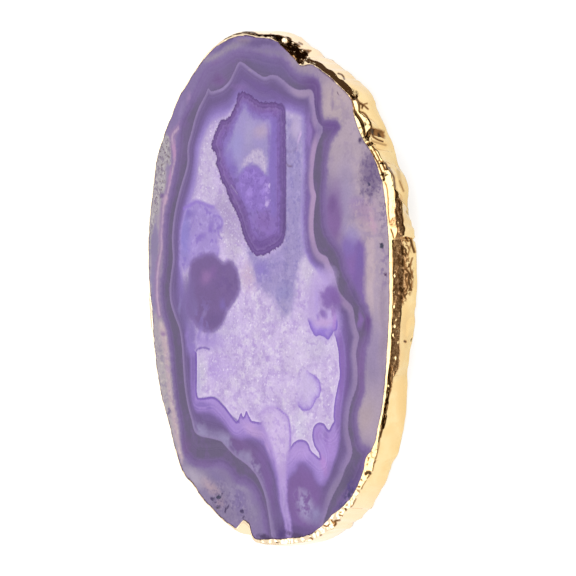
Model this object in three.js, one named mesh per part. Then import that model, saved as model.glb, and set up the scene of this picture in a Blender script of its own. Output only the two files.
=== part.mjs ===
// Agate coaster: a polished slice of banded agate, and the gilded band plated around its rough natural edge.
// Millimetres. The coaster lies flat with +Z up. +Y runs along the slice, and the origin is under its middle.
import * as THREE from "three";
import { ParametricGeometry } from "three/addons/geometries/ParametricGeometry.js";

// Driving dimensions
const THICKNESS = 5.6; // from the table to the top of the gilded lip
const LIP_PROUD = 0.15; // the lip stands this far above each polished face
const PLATING_GAP = 0.35; // clear space between the stone's edge and the band
const LEAST_PLATING = 0.3; // the band is never thinner than this where it is widest
const WIDEST = 1.4; // height above the table at which the band stands out most
const FOOT = 2.6; // exponent of the band's section below that height
const AROUND = 300; // steps around the slice
const OVER_BAND = 12; // steps over the outside of the band, from the top lip to the bottom one

// The edge of the polished face, seen from above, anticlockwise from +X
const FACE_EDGE = [
  [37.1, 1.8], [36.9, 8.8], [36.1, 15.8], [35.4, 19.2], [33.8, 22.8], [32.0, 25.8], [29.8, 28.0],
  [28.2, 30.3], [26.8, 33.3], [26.0, 36.2], [22.3, 39.2], [18.3, 41.7], [14.3, 43.6], [11.0, 43.6],
  [8.8, 45.2], [6.0, 47.2], [3.6, 48.8], [1.0, 49.6], [-2.7, 50.0], [-7.2, 50.7], [-12.2, 50.1],
  [-17.2, 48.3], [-21.2, 45.5], [-25.2, 41.9], [-28.2, 39.0], [-30.6, 35.4], [-33.2, 31.2], [-35.5, 26.6],
  [-36.8, 20.3], [-37.9, 14.3], [-38.3, 6.8], [-38.0, 0.8], [-37.1, -5.2], [-36.5, -11.2], [-35.4, -17.2],
  [-33.7, -23.0], [-31.2, -28.5], [-28.7, -34.4], [-26.2, -38.4], [-23.4, -40.2], [-20.5, -42.8],
  [-16.7, -45.2], [-12.2, -47.6], [-8.2, -49.0], [-3.2, -50.3], [1.8, -50.1], [7.8, -49.5], [13.3, -48.6],
  [17.3, -46.7], [20.3, -44.4], [24.1, -42.2], [27.3, -39.1], [29.4, -35.7], [30.6, -32.5], [32.6, -30.4],
  [33.8, -26.9], [35.0, -22.9], [35.8, -18.1], [36.5, -11.1], [37.0, -4.1],
];

// The bite in the lower edge that the plating has run into: middle and half width in degrees, depth in mm
const BITE = { angle: 262.6, halfWidth: 2.4, depth: 2.5 };

// Tables around the slice, each row [degrees from +X, millimetres]
const BAND_WIDTH = [ // how far the band stands out from the edge of the stone where it is widest
  [0, 2.0], [12, 2.1], [20, 2.0], [28, 2.1], [36, 1.6], [43, 2.8], [48, 2.2], [56, 1.4], [66, 0.9],
  [75, 2.9], [83, 1.5], [92, 1.1], [115, 0.9], [150, 0.8], [170, 0.9], [186, 1.6], [205, 0.9], [230, 0.9],
  [250, 0.8], [275, 1.4], [288, 1.4], [300, 2.6], [313, 1.7], [325, 1.1], [337, 1.5], [348, 2.1],
];
const BACK_DRIFT = [ // how far the underside's outline lies outside that of the top
  [0, 0.4], [18, -1.1], [28, -0.5], [35, -0.9], [42, 0.1], [48, 0], [54, -0.6], [60, -0.1], [66, -0.7],
  [73, -0.4], [77, 0.3], [90, 0.3], [135, -0.7], [165, 0.2], [200, -0.4], [240, 0.3], [270, 0.2],
  [300, -0.5], [306, -0.4], [313, 0.5], [325, 0.2], [338, -0.8], [348, 0.2], [353, -0.1],
];
const SHOULDER = [ // exponent of the section above: 2 is round, less is a chamfer, 4 is a tight corner
  [0, 1.6], [12, 1.7], [22, 2.0], [36, 2.3], [46, 2.6], [60, 3.0], [70, 2.6], [76, 1.8], [86, 1.9],
  [98, 2.8], [150, 2.6], [200, 2.6], [250, 2.6], [275, 3.0], [300, 4.4], [325, 4.2], [336, 2.6], [345, 1.8],
];
const HUSK = [ // height of the rough natural husk that shows through the plating
  [0, 0.22], [25, 0.22], [38, 0.12], [46, 0.05], [66, 0.05], [76, 0.2], [86, 0.2], [96, 0.08], [125, 0.16],
  [160, 0.2], [190, 0.1], [230, 0.2], [255, 0.1], [285, 0.06], [325, 0.05], [338, 0.12], [348, 0.2],
];
const FOLDS = [ // bumps and creases in the plating: degrees, height above the table, mm out, mm wide, mm high
  { angle: 44, height: 3.0, out: -0.75, wide: 1.2, high: 2.6 },
  { angle: 31, height: 2.4, out: 0.4, wide: 3.6, high: 2.2 },
  { angle: 49, height: 2.8, out: 0.35, wide: 3.2, high: 2.6 },
  { angle: 23.5, height: 1.2, out: -0.5, wide: 1.6, high: 1.4 },
  { angle: 8, height: 1.4, out: 0.4, wide: 3.6, high: 1.6 },
  { angle: 341, height: 2.0, out: -0.35, wide: 4.0, high: 2.2 },
  { angle: 322, height: 2.4, out: 0.35, wide: 5.0, high: 2.6 },
  { angle: 309, height: 4.9, out: -0.45, wide: 1.4, high: 0.7 },
  { angle: 81, height: 4.2, out: -0.6, wide: 1.8, high: 1.0 },
  { angle: 73, height: 3.9, out: -0.5, wide: 1.6, high: 1.2 },
  { angle: 118, height: 2.6, out: 0.35, wide: 5.0, high: 2.2 },
  { angle: 139, height: 3.2, out: -0.45, wide: 1.8, high: 2.0 },
  { angle: 163, height: 2.4, out: 0.4, wide: 4.6, high: 2.0 },
  { angle: 194, height: 2.8, out: -0.4, wide: 2.2, high: 1.8 },
  { angle: 221, height: 2.2, out: 0.45, wide: 4.4, high: 2.2 },
  { angle: 243, height: 3.4, out: -0.4, wide: 1.8, high: 1.6 },
];
const HUSK_WAVES = [ // turns around the slice, half turns over the band, share of the husk's height, phase
  [31, 2, 0.5, 0.4], [47, -3, 0.45, 2.1], [58, 4, 0.4, 4.4], [17, 1, 0.6, 5.2], [71, -2, 0.3, 1.3],
];

const STONE_COLOUR = 0x8d7ab8;
const GOLD_COLOUR = 0xe0b063;
const DEGREE = Math.PI / 180;

// A smooth closed curve through rows of [degrees, value], as a function of the angle in degrees
function around(rows) {
  const sorted = [...rows].sort((a, b) => a[0] - b[0]);
  const count = sorted.length;
  const row = (i) => {
    const turn = Math.floor(i / count);
    const [angle, value] = sorted[i - turn * count];
    return [angle + 360 * turn, value];
  };
  const slope = (i) => {
    const [before, after] = [row(i - 1), row(i + 1)];
    return (after[1] - before[1]) / (after[0] - before[0]);
  };
  return (degrees) => {
    const angle = ((degrees % 360) + 360) % 360;
    let i = count - 1;
    while (i >= 0 && row(i)[0] > angle) i -= 1;
    const [[a0, v0], [a1, v1]] = [row(i), row(i + 1)];
    const span = a1 - a0;
    const t = (angle - a0) / span;
    const ease = t * t * (3 - 2 * t);
    const leave = span * slope(i) * t * (1 - t) * (1 - t);
    const arrive = span * slope(i + 1) * t * t * (t - 1);
    return v0 + (v1 - v0) * ease + leave + arrive;
  };
}

const turnTo = ([x, y]) => (Math.atan2(y, x) / DEGREE + 360) % 360;
const faceRadius = around(FACE_EDGE.map((point) => [turnTo(point), Math.hypot(...point)]));
const bandWidth = around(BAND_WIDTH);
const backDrift = around(BACK_DRIFT);
const shoulder = around(SHOULDER);
const huskHeight = around(HUSK);

// Shortest way round from one angle to another, in degrees
const turnBetween = (from, to) => ((((to - from) % 360) + 540) % 360) - 180;

// How deep the bite cuts into the stone at this angle
function biteDepth(degrees) {
  const across = turnBetween(BITE.angle, degrees) / BITE.halfWidth;
  return BITE.depth * Math.exp(-(across ** 4));
}

// Radius of the stone's edge. Its outline drifts a little on the way down from the top face.
function stoneRadius(degrees, height) {
  const drift = backDrift(degrees) * (1 - height / THICKNESS);
  return faceRadius(degrees) + drift - biteDepth(degrees);
}

// How far the folds and the husk push the band's surface out
function relief(degrees, height) {
  const husk = huskHeight(degrees);
  let out = 0;
  for (const fold of FOLDS) {
    const along = (turnBetween(fold.angle, degrees) * DEGREE * faceRadius(degrees)) / fold.wide;
    const up = (height - fold.height) / fold.high;
    out += fold.out * Math.exp(-(along * along) - up * up);
  }
  for (const [turns, over, share, phase] of HUSK_WAVES) {
    const wave = turns * degrees * DEGREE + (over * Math.PI * height) / THICKNESS + phase;
    out += husk * share * Math.sin(wave);
  }
  return out;
}

function place(target, degrees, radius, height) {
  return target.set(radius * Math.cos(degrees * DEGREE), radius * Math.sin(degrees * DEGREE), height);
}

// Puts a point on the band's outside, with overBand running from 0 at the top lip to 1 at the bottom one.
function placeOnBand(target, degrees, overBand) {
  const above = overBand < 0.5;
  const power = 2 / (above ? shoulder(degrees) : FOOT);
  const span = above ? THICKNESS - WIDEST : -WIDEST;
  const height = WIDEST + span * Math.abs(Math.cos(Math.PI * overBand)) ** power;
  const plating = bandWidth(degrees) + biteDepth(degrees) - PLATING_GAP + relief(degrees, height);
  const out = PLATING_GAP + Math.max(plating, LEAST_PLATING) * Math.sin(Math.PI * overBand) ** power;
  return place(target, degrees, stoneRadius(degrees, height) + out, height);
}

// The stone: from the middle of the underside to its edge, up the edge and in to the middle of the top face.
function agateSlice() {
  const bottom = LIP_PROUD;
  const top = THICKNESS - LIP_PROUD;
  const corners = [[0, bottom], [1, bottom], [1, top], [0, top]]; // share of the radius, height
  const sides = corners.length - 1;
  const surface = (u, v, target) => {
    const degrees = 360 * u;
    const [share, height] = corners[Math.round(v * sides)];
    return place(target, degrees, share * stoneRadius(degrees, height), height);
  };
  return new ParametricGeometry(surface, AROUND, sides);
}

// The band: its inner wall from the top lip down to the bottom one, then over the outside back to the top.
function gildedBand() {
  const surface = (u, v, target) => {
    const degrees = 360 * u;
    const step = Math.round(v * (OVER_BAND + 1));
    return placeOnBand(target, degrees, step === 0 ? 0 : (OVER_BAND + 1 - step) / OVER_BAND);
  };
  return new ParametricGeometry(surface, AROUND, OVER_BAND + 1);
}

function piece(name, geometry, colour, roughness, metalness) {
  const material = new THREE.MeshStandardMaterial({ color: colour, roughness, metalness });
  const mesh = new THREE.Mesh(geometry, material);
  mesh.name = name;
  return mesh;
}

const coaster = new THREE.Group();
coaster.name = "agate_coaster";
coaster.add(
  piece("agate_slice", agateSlice(), STONE_COLOUR, 0.2, 0),
  piece("gilded_band", gildedBand(), GOLD_COLOUR, 0.12, 1),
);

export default coaster;
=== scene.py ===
# Looks of the agate coaster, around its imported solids. Metres, in the same frame as the solids.
# Tables and outlines are in millimetres. The stone's pattern has an origin of its own, see PATTERN_ORIGIN.
import itertools
import math

import bpy
import numpy as np
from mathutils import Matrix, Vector


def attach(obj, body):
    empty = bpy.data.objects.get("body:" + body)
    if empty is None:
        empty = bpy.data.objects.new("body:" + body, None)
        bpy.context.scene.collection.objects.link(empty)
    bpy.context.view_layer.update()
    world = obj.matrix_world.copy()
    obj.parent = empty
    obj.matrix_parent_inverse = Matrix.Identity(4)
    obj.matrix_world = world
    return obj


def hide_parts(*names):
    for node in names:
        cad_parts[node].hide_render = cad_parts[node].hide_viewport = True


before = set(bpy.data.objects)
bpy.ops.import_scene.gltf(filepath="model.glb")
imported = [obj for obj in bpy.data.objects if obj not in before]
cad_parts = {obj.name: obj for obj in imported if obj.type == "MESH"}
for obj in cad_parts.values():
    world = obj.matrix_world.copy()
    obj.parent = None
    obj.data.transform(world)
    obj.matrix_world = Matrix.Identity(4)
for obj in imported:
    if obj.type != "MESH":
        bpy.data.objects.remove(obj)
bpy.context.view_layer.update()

MM = 0.001

# Camera: the photograph looks at the face 50 degrees off its normal, from the +X side
VIEW_ANGLE = math.radians(50)
VIEW_TARGET = Vector((7.15, -0.15, 5.6)) * MM
VIEW_DISTANCE = 0.6
TO_CAMERA = (math.sin(VIEW_ANGLE), 0, math.cos(VIEW_ANGLE))
LENS = 190.125
CLIP_NEAR, CLIP_FAR = 0.05, 10

# Solids
CAD_STEPS = 300  # steps around the slice in the solids
HUB = 5  # points of a solid nearer to its middle than this are not on its edge, in mm

# Stone
TOP_GRID = 260  # squares along each side of the grid that is laid over the top face
BACK_GRID = TOP_GRID // 2
PATTERN_ORIGIN = (3.67, -0.15)  # where the pattern's own origin lies on the face, in mm
STONE_IOR = 1.54

# Gilded band
BAND_STEPS = 1500  # steps around the slice
SKIN_POINTS = 58  # points over its outside, from the top lip's inner edge to the bottom one's
SOLID_PIECES = 6  # pieces that the solid's section is smoothed into between each two of its points
WALL_POINTS = 34  # points down the wall, before they are spread again
WALL_SPACING = 1.2  # power by which those come closer together at the top
CLEAR = 0.05  # between the stone's edge and the plating's inner wall, in mm
SEAT = 0.01  # by which the lips and that wall stay off the stone's faces, in mm
WALL_END = 0.55  # height down to which the wall's shape is set here and not by the solid, in mm
FOOT_GAP = 0.05  # the solid's own points go on this far below that
LIP_REACH = 0.04  # least that the lip lies over the edge of the stone's face, in mm
LIP_SIDE, LIP_TOP = 0.03, 0.1  # where the lip's side ends and its top begins, in mm from its inner edge
LIP_ROUND = 0.04  # how far its side ends below its top, in mm
NOISE_RADIUS = 60  # radius of the circle along which the noise for the lip's edges is read, in mm
PIT_DEPTH, PIT_ROUGHNESS = 0.32, 0.12  # in mm
# Relief of the plating: depth in mm, size in mm, seed. The lip's and the shoulder's are scaled by the tables
# LIP_FACETS and SHOULDER_GRAIN.
DENTS = [(0.07, 4.0, 11), (0.035, 1.6, 12), (0.008, 0.7, 33)]
FACETS = [(1.2, 1.7, 21), (0.5, 0.9, 25)]
GRAIN = [(0.05, 0.6, 31), (0.025, 0.35, 32)]

# Light
FLOOR_HALF = 3000  # half the floor's side, in mm
FLOOR_DROP = 0.02  # the floor lies this far below the coaster, in mm
FLOOR_GLOW = 0.82
FLOOR_GLOW_ENDS = 0.86  # the floor's glow beyond both ends of the slice
FLOOR_ENDS = (41, 54)  # where that begins and is full, in mm from the middle
FLOOR_COLOUR = 0.33
SKY_TOP = 2.3  # radiance of the soft box overhead, and of the other parts of the studio below
SKY_FAR = 1.0
SKY_NEAR = (0.075, 0.045, 0.028)
SKY_LOW = 0.6
DIM_SIDE = math.radians(46)  # the studio's dim side, from +X towards +Y
DIM_EDGE = (-0.39, -0.24)  # cosines of the angle from its middle at which it ends
FACE_LIGHT = 0.97  # light that reaches the top face, and the part that it mirrors to the camera
FACE_GLOSS = 0.072

# The outlines of the pattern, drawn as points. The material reads the distance from each, which is positive
# inside of a closed one.
CLOSED = {
    "outer_band": [
        (-31.5, 33), (-32.3, 27), (-34.5, 20), (-36.5, 14), (-36.8, 8), (-37, 5), (-38, 0), (-37.3, -5),
        (-36, -8), (-34.8, -12), (-34.2, -16), (-33.6, -20), (-32.8, -24), (-31.5, -28), (-30.8, -32),
        (-30, -34), (-28, -35.5), (-26, -36.3), (-22, -36.4), (-18, -36), (-15.5, -36.7), (-14, -38),
        (-12.5, -39), (-10, -39.2), (-8, -40), (-6.5, -41.5), (-5, -44), (-4, -47), (-3.5, -50), (-3, -54),
        (16, -54), (17, -46), (20, -41.5), (24, -37.5), (26, -34), (27.5, -31), (25, -30), (24, -26),
        (24, -24), (25, -22), (26, -20), (26, -18), (26, -16), (26.2, -14), (26.5, -12), (27.5, -10),
        (28, -8), (28, -6), (27, -4), (25.5, -2.5), (23.6, -0.5), (22, 2), (20.5, 4), (20, 6), (18.5, 8),
        (16.2, 10), (15, 12), (14.5, 15), (14.5, 18), (14.6, 20), (15, 22), (15, 24), (15.3, 26), (16, 28),
        (18, 30), (19, 31), (18, 32.4), (16, 32.6), (14.5, 32.7), (14, 33.2), (13.3, 35), (13.3, 38),
        (12.8, 40), (11.5, 41), (9.5, 41.3), (7, 41.5), (5, 42.5), (3.5, 44), (1.5, 45.3), (-1, 45.6),
        (-4, 46.2), (-7, 47), (-10, 47.3), (-13, 47.5), (-16, 46.5), (-19, 45.5), (-22, 45), (-24, 43.5),
        (-25.5, 41.5), (-27, 39.5), (-29, 37), (-30.5, 35),
    ],
    "pale_line": [
        (-11.8, 45.5), (-13.5, 43.8), (-15, 42), (-17, 40.7), (-19, 40.2), (-21, 40), (-22, 40.7),
        (-22.8, 39.5), (-25, 37), (-26.5, 34.5), (-27.5, 32), (-28.8, 29), (-28.8, 26), (-29.5, 24),
        (-31, 21), (-32.5, 17.5), (-33.5, 14), (-34, 10), (-33.7, 6), (-34.3, 3), (-34.8, 0), (-34.5, -3),
        (-33, -6), (-31.5, -8.5), (-30.7, -12), (-30.3, -16), (-29.8, -20), (-28.8, -24), (-27.5, -27),
        (-26.3, -29.5), (-24, -30.3), (-21, -30.6), (-18, -31), (-17, -31.5), (-14, -33.5), (-11, -34.8),
        (-8.5, -36), (-6, -38), (-4, -41), (-3, -44), (-2.3, -47), (-1.8, -49.5), (-1.5, -53), (13, -53),
        (14, -46), (14.8, -44), (16, -41.5), (17.5, -39.3), (19.3, -37), (20.5, -34.8), (21.8, -33.2),
        (22.5, -31.5), (22, -29.5), (21.3, -27.5), (21.4, -25), (22, -22.5), (23, -20.5), (23.9, -18.5),
        (24, -15.5), (23.6, -13), (24, -11), (24.5, -9.3), (23.9, -8), (23.3, -6.5), (23, -4.8), (22.3, -3.4),
        (20.5, -2.2), (18.7, -0.7), (17.8, 1.2), (17, 3.2), (16, 4.6), (15, 6), (13, 6.8), (12, 8),
        (11.3, 10), (11, 12), (11.3, 15.5), (11.8, 18), (11.2, 19.5), (10.9, 22), (11.2, 24.5), (11.8, 27),
        (12.5, 28.5), (13.5, 30), (13.8, 31.2), (12.5, 32.3), (11.7, 34), (11.3, 36), (11, 38), (10, 38.8),
        (8, 38.8), (6, 39), (4, 39.8), (2, 41), (0, 42), (-2, 42.3), (-4, 42), (-6.5, 43), (-9, 44.3),
    ],
    "core": [
        (17.2, -8.7), (17.7, -9.8), (18.5, -12.3), (18.6, -14.2), (18.9, -16.8), (18.3, -18.9), (17.4, -22),
        (17, -24.7), (17.2, -25.8), (16.4, -26.7), (15.8, -27.6), (15.1, -27.3), (14.1, -26.4), (12.4, -26.3),
        (11.1, -27.2), (10.7, -28.9), (11.3, -30.8), (12.6, -32.1), (13, -33.2), (11.9, -32.7), (10.2, -31.7),
        (9.6, -30.6), (8.5, -29.9), (6.7, -29.8), (5, -30.5), (4.1, -31.4), (3.2, -32.2), (1.8, -32.8),
        (0.6, -32.2), (-0.8, -30.4), (-2.4, -28.2), (-4.2, -26.6), (-5.2, -26.8), (-6.7, -26.7),
        (-7.9, -26.6), (-8.4, -26.2), (-9, -25.5), (-9.7, -24.6), (-10.1, -25.3), (-10.7, -26),
        (-11.3, -25.1), (-11.8, -25.6), (-12.3, -26.5), (-12.9, -26.9), (-14, -26.1), (-15.1, -25.2),
        (-16.5, -24.1), (-20, -22.2), (-24, -22.5), (-25.7, -22), (-25.7, -18), (-25.7, -14), (-26, -13.2),
        (-27.5, -12), (-28.3, -10), (-29, -4), (-31, 4), (-30.5, 8), (-30.5, 12), (-29.5, 15), (-28.5, 16.8),
        (-28.3, 17.3), (-27.7, 18.5), (-26.8, 20.5), (-26.2, 22), (-25.6, 25), (-25.2, 27), (-24.8, 29),
        (-23.5, 31), (-22, 33), (-20.5, 34.2), (-18, 34.9), (-16, 35.4), (-14.5, 36.2), (-13.2, 37.3),
        (-12.4, 38.2), (-11.5, 38.2), (-9, 37.2), (-6, 36), (-3, 35.6), (0, 35.4), (2.2, 35), (3.2, 35.1),
        (5, 34.5), (7, 34), (7.7, 33.2), (7.5, 31), (7.8, 28), (8, 24), (7.5, 20), (7.3, 16), (7.5, 12),
        (8, 8), (9, 6.5), (10, 5), (12, 3.5), (14, 1.8), (15.2, 0.2), (15.8, -0.8), (16.5, -2.5), (17.3, -5),
        (17.8, -7),
    ],
    "island": [
        (-20.8, 28.4), (-20, 31), (-18.5, 33), (-17.5, 34), (-16, 34.1), (-14.5, 35), (-13.2, 36.8),
        (-12.4, 38.7), (-10.6, 39.3), (-8, 38.4), (-6, 37.3), (-4, 36.9), (-2, 36.9), (0, 36.6), (2.2, 35.8),
        (2.6, 33), (2.7, 28), (2.8, 22), (2.7, 16), (2.7, 12), (2, 9.5), (0.5, 8.3), (-1.5, 7.6), (-3.5, 6.8),
        (-6, 6.5), (-7.5, 7), (-9, 8.5), (-10.5, 10.5), (-11.5, 13), (-13, 15.5), (-15, 18), (-16.5, 20.5),
        (-17.8, 22), (-18.2, 23.5), (-19.3, 25), (-19.2, 26.5), (-20, 28),
    ],
    "island_top": [
        (-14.5, 30), (-13.5, 32.5), (-12, 34.5), (-10.5, 36.3), (-9.7, 36.2), (-9, 35), (-7, 34), (-4, 33.5),
        (-2.3, 33.3), (-2, 31), (-2.6, 28), (-2.7, 25), (-3, 22.5), (-4, 22.8), (-5, 24), (-7, 24.8),
        (-9, 24.3), (-10.5, 23.8), (-12, 23), (-13.5, 24.5), (-15.5, 26), (-16.2, 28),
    ],
    "island_frost": [
        (-11, 24.3), (-8.5, 25), (-6, 24.5), (-4, 22.7), (-3.3, 24), (-4, 26.5), (-5.5, 27.9), (-8, 27.3),
        (-10, 26),
    ],
    "island_cloud": [
        (-11.5, 23), (-9, 24.3), (-6, 24), (-3.5, 22.3), (-2.3, 21.5), (-2, 17), (-3.5, 15.5), (-7, 15.3),
        (-9.5, 16.5), (-11.5, 19), (-12, 21.5),
    ],
    "stream": [
        (2.6, 34), (7.6, 33), (7.8, 28), (7.8, 20), (7.4, 14), (7.8, 10), (8.2, 7), (6.8, 5), (5.8, 1.5),
        (5, -2), (4.2, -4.6), (2.5, -5.6), (0.5, -4), (-1.5, -1.8), (-4, -0.8), (-6.2, 0.6), (-7, 2.8),
        (-8.3, 5), (-9.6, 7.6), (-8, 8), (-5, 6.3), (-2, 6.8), (0.5, 8), (2, 9.5), (2.2, 14), (2.2, 22),
        (2.2, 30),
    ],
    "loop": [
        (7, -16), (9, -16.3), (11, -17), (12.6, -18), (13.3, -19.3), (12.8, -21), (11.5, -22), (10.5, -23.5),
        (8.5, -24), (6.8, -23.5), (6, -22), (6, -20),
    ],
    "halo": [
        (14, -3), (17.3, -4.2), (18.6, -7), (19.8, -10), (20.4, -13), (20.4, -17), (19.9, -20), (19.3, -23),
        (18.9, -26), (18.8, -29), (18, -32), (16.9, -34), (15.9, -36), (14.5, -38), (13, -38.3),
        (11.8, -37.5), (10.8, -36), (9.5, -34.8), (8, -34.2), (6.5, -34.6), (5.5, -36), (3.8, -37.2),
        (3, -39), (3, -42), (3.7, -44.5), (4.2, -46.5), (4.2, -52), (3.4, -52), (2.9, -48.5), (2.2, -46),
        (1.3, -44), (0.6, -42), (0.1, -39.5), (-0.5, -37.5), (-1.6, -35), (-2.8, -33), (-4, -31.4),
        (-6, -30.3), (-8, -29.9), (-10, -30.1), (-12, -30.2), (-14, -29.6), (-15.2, -28.6), (-16.8, -27.3),
        (-19, -26.2), (-21, -25.4), (-23, -25.2), (-25, -25.4), (-26.6, -24.5), (-27.4, -22), (-27.6, -18),
        (-27.7, -14), (-28.2, -11.5), (-29, -9), (-20, -6), (0, -6),
    ],
    "cloud": [
        (-28.4, 17), (-26.5, 17.9), (-24.5, 17.6), (-22.5, 16.9), (-20.5, 16.3), (-18.6, 15.2), (-17.4, 13.6),
        (-17.6, 12), (-18.7, 11), (-19, 9.3), (-18.3, 7.5), (-19.5, 6), (-23, 6), (-27, 5), (-30.5, 3.5),
        (-31.2, 8), (-30.8, 12), (-29.7, 15),
    ],
    "growth": [
        (-27, 5.5), (-25, 6.2), (-22.5, 6.8), (-20, 6.6), (-18.3, 5.6), (-17, 5), (-15, 5.2), (-13.3, 4.2),
        (-12.3, 2), (-12, 0), (-13, -1.8), (-14.5, -3.2), (-16, -4.5), (-17, -6.3), (-18.5, -7.8),
        (-20.5, -8.7), (-22.5, -8.8), (-25, -8), (-26.8, -6.5), (-28.3, -5.5), (-29, -4), (-28.5, -2),
        (-27.8, 0), (-28, 2.5), (-27.8, 4.3),
    ],
    "haze": [
        (17, 2.5), (14.5, 3.2), (12, 2.4), (10, 0.4), (9.3, -3), (9.4, -6), (10.3, -7.8), (11.2, -8.9),
        (12, -9.3), (13, -9.1), (14.2, -9.4), (15.4, -9.9), (16.3, -9.2), (17, -8.4), (17.9, -7.9), (18, -6),
        (17.4, -3), (16.6, -0.5),
    ],
    "stem_head": [
        (-5.2, -26.6), (-5.5, -25.3), (-4, -24.2), (-1.5, -23.6), (0.5, -23.9), (2.2, -24.8), (3.4, -26.2),
        (4, -28), (4.1, -30.5), (3.6, -32.5), (2.8, -35), (2.7, -38), (2.7, -42), (3.8, -46), (4, -50.5),
        (3.4, -50.5), (2.8, -46.5), (1.9, -44.5), (1.2, -42), (0.7, -38.5), (0, -36), (-1.4, -33), (-3, -30),
        (-4.3, -28),
    ],
    "purple_patch": [
        (19.5, 7), (20, 9.5), (22, 10.3), (24.3, 9.6), (25.9, 8), (26.1, 5), (26, 2), (26, -1), (26.5, -4),
        (24, -5), (21, -2), (20, 3),
    ],
    "rind": [
        (-36.5, 32), (-34.3, 31), (-34, 29), (-34.5, 27), (-34.5, 25.5), (-36, 25.5), (-36, 23), (-36.2, 21),
        (-37.3, 19.5), (-38, 18), (-38.5, 15.5), (-39.5, 15), (-40, 13), (-41, 11), (-41.5, 8), (-44, 8),
        (-44, 14), (-43, 20), (-41, 27), (-39, 31),
    ],
    "pink_band": [
        (-38.5, -7), (-37, -7.2), (-35.5, -8.5), (-35, -12), (-34.5, -16), (-34, -20), (-33, -24),
        (-31.8, -28), (-31, -32), (-30.2, -35), (-31, -36), (-33, -31), (-34.5, -26), (-35.8, -20),
        (-36.8, -14), (-38, -10),
    ],
}
OPEN = {
    "crystal_left": [
        (-21.6, -12.4), (-23.4, -12.2), (-25.2, -12.4), (-26, -13.3), (-25.9, -17), (-25.7, -22),
        (-24, -22.5), (-20, -22.2), (-17.5, -23.5), (-15, -25.5), (-12, -27),
    ],
    "stem_edge": [(0, -23.8), (1.5, -24.5), (3.2, -25.5), (3.9, -27.5), (4, -31.5)],
    "cloud_floor": [(-30, 16.4), (-28.5, 16.8), (-26, 17.6), (-24, 17.4), (-22, 16.8), (-20, 16.4)],
    "cloud_curl": [
        (-20.4, 14.6), (-19, 14.6), (-17.7, 14), (-17.4, 13), (-18, 12.2), (-18.8, 12), (-18.4, 10.6),
        (-17.6, 10),
    ],
    "pink_line": [
        (-31, 33.5), (-33, 32.2), (-34, 31), (-33, 27), (-33.5, 25), (-34.5, 22.5), (-35.5, 19.5),
        (-36.8, 17.3), (-37, 15), (-37.5, 11), (-37.5, 8.5), (-38.5, 5), (-39, 2), (-39, -2), (-38.3, -5.5),
    ],
    "top_streak": [(-23, 46.5), (-20, 47), (-17, 48), (-14, 48.8), (-9, 49.5)],
    "top_streak_right": [(-7, 46.9), (-4, 47), (-1, 46.7), (2, 46.2)],
    # a scratch, drawn as a pale line for its painted highlight
    "scratch": [(-14.6, 20.8), (-13.5, 19.8), (-12.5, 18.8)],
    "faint_scratch": [(-13.8, 17.6), (-13.2, 17.2), (-12.6, 17)],
    "violet_bar": [(-0.9, 33), (-1.2, 28), (-1.4, 22), (-1.2, 15)],
    "brown_arc": [(2.8, 24.6), (3.4, 24.1), (4.6, 24)],
    "violet_arc": [(2.2, 27.4), (3.4, 26.9), (5, 27), (6.1, 27.6)],
}


def curve(a, b, c, d, t):
    """The Catmull-Rom line through a, b, c and d, with t running from 0 at b to 1 at c."""
    return 0.5 * (2 * b + (c - a) * t + (2 * a - 5 * b + 4 * c - d) * t**2 + (3 * b - a - 3 * c + d) * t**3)


def smooth_line(points, closed, pieces=4):
    """A smooth line through the points, with that many pieces between each two."""
    points = np.array(points, float)
    if closed:
        rows = [np.roll(points, -i, 0) for i in (-1, 0, 1, 2)]
    else:
        ends = np.vstack([2 * points[0] - points[1], points, 2 * points[-1] - points[-2]])
        rows = [ends[i:len(ends) - 3 + i] for i in range(4)]
    line = np.stack([curve(*rows, t) for t in np.arange(pieces) / pieces], 1).reshape(-1, 2)
    return line if closed else np.vstack([line, points[-1:]])


def distance_to(places, line, closed=True, reach=8.0):
    """Distance of each place from the line, up to reach. For a closed line it is positive inside."""
    line = smooth_line(line, closed)
    low, high = line.min(0) - reach, line.max(0) + reach
    near = np.all((places > low) & (places < high), axis=1)
    x, y = places[near].T
    nearest = np.full(len(x), reach * reach)
    inside = np.zeros(len(x), bool)
    starts, ends = (line, np.roll(line, -1, 0)) if closed else (line[:-1], line[1:])
    for (ax, ay), (bx, by) in zip(starts, ends):
        dx, dy = bx - ax, by - ay
        share = np.clip(((x - ax) * dx + (y - ay) * dy) / (dx * dx + dy * dy), 0, 1)
        nearest = np.minimum(nearest, (x - ax - share * dx) ** 2 + (y - ay - share * dy) ** 2)
        if closed and ay != by:
            inside ^= ((ay > y) != (by > y)) & (x < ax + (y - ay) * dx / dy)
    away = np.sqrt(nearest)
    found = np.full(len(places), -reach if closed else reach)
    found[near] = np.where(inside, away, -away) if closed else away
    return found


# Random numbers for the solid noise, drawn once, and the factors that pick them for a cell and a seed
RANDOM = np.random.default_rng(20).uniform(-1, 1, (4096, 4))
PICK = (73856093, 19349663, 83492791, 2654435)


def dice(cells, seed):
    """Four random numbers for each whole-numbered cell."""
    x, y, z, other = (value * factor for value, factor in zip((*cells.T, seed), PICK))
    return RANDOM[(x ^ y ^ z ^ other) & (len(RANDOM) - 1)]


def in_cells(places, size):
    """The places in cells of that size, counted from beyond the coaster, and the cell that each is in."""
    scaled = places / size + 100
    return scaled, np.floor(scaled).astype(np.int64)


def lumps(places, size, seed):
    """Smooth solid noise from -1 to 1, with lumps of that size."""
    scaled, cell = in_cells(places, size)
    ease = smooth_step(0, 1, scaled - cell)
    total = np.zeros(len(places))
    for corner in itertools.product((0, 1), repeat=3):
        weight = np.prod(np.where(corner, ease, 1 - ease), axis=1)
        total += weight * dice(cell + corner, seed)[:, 0]
    return total


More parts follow.
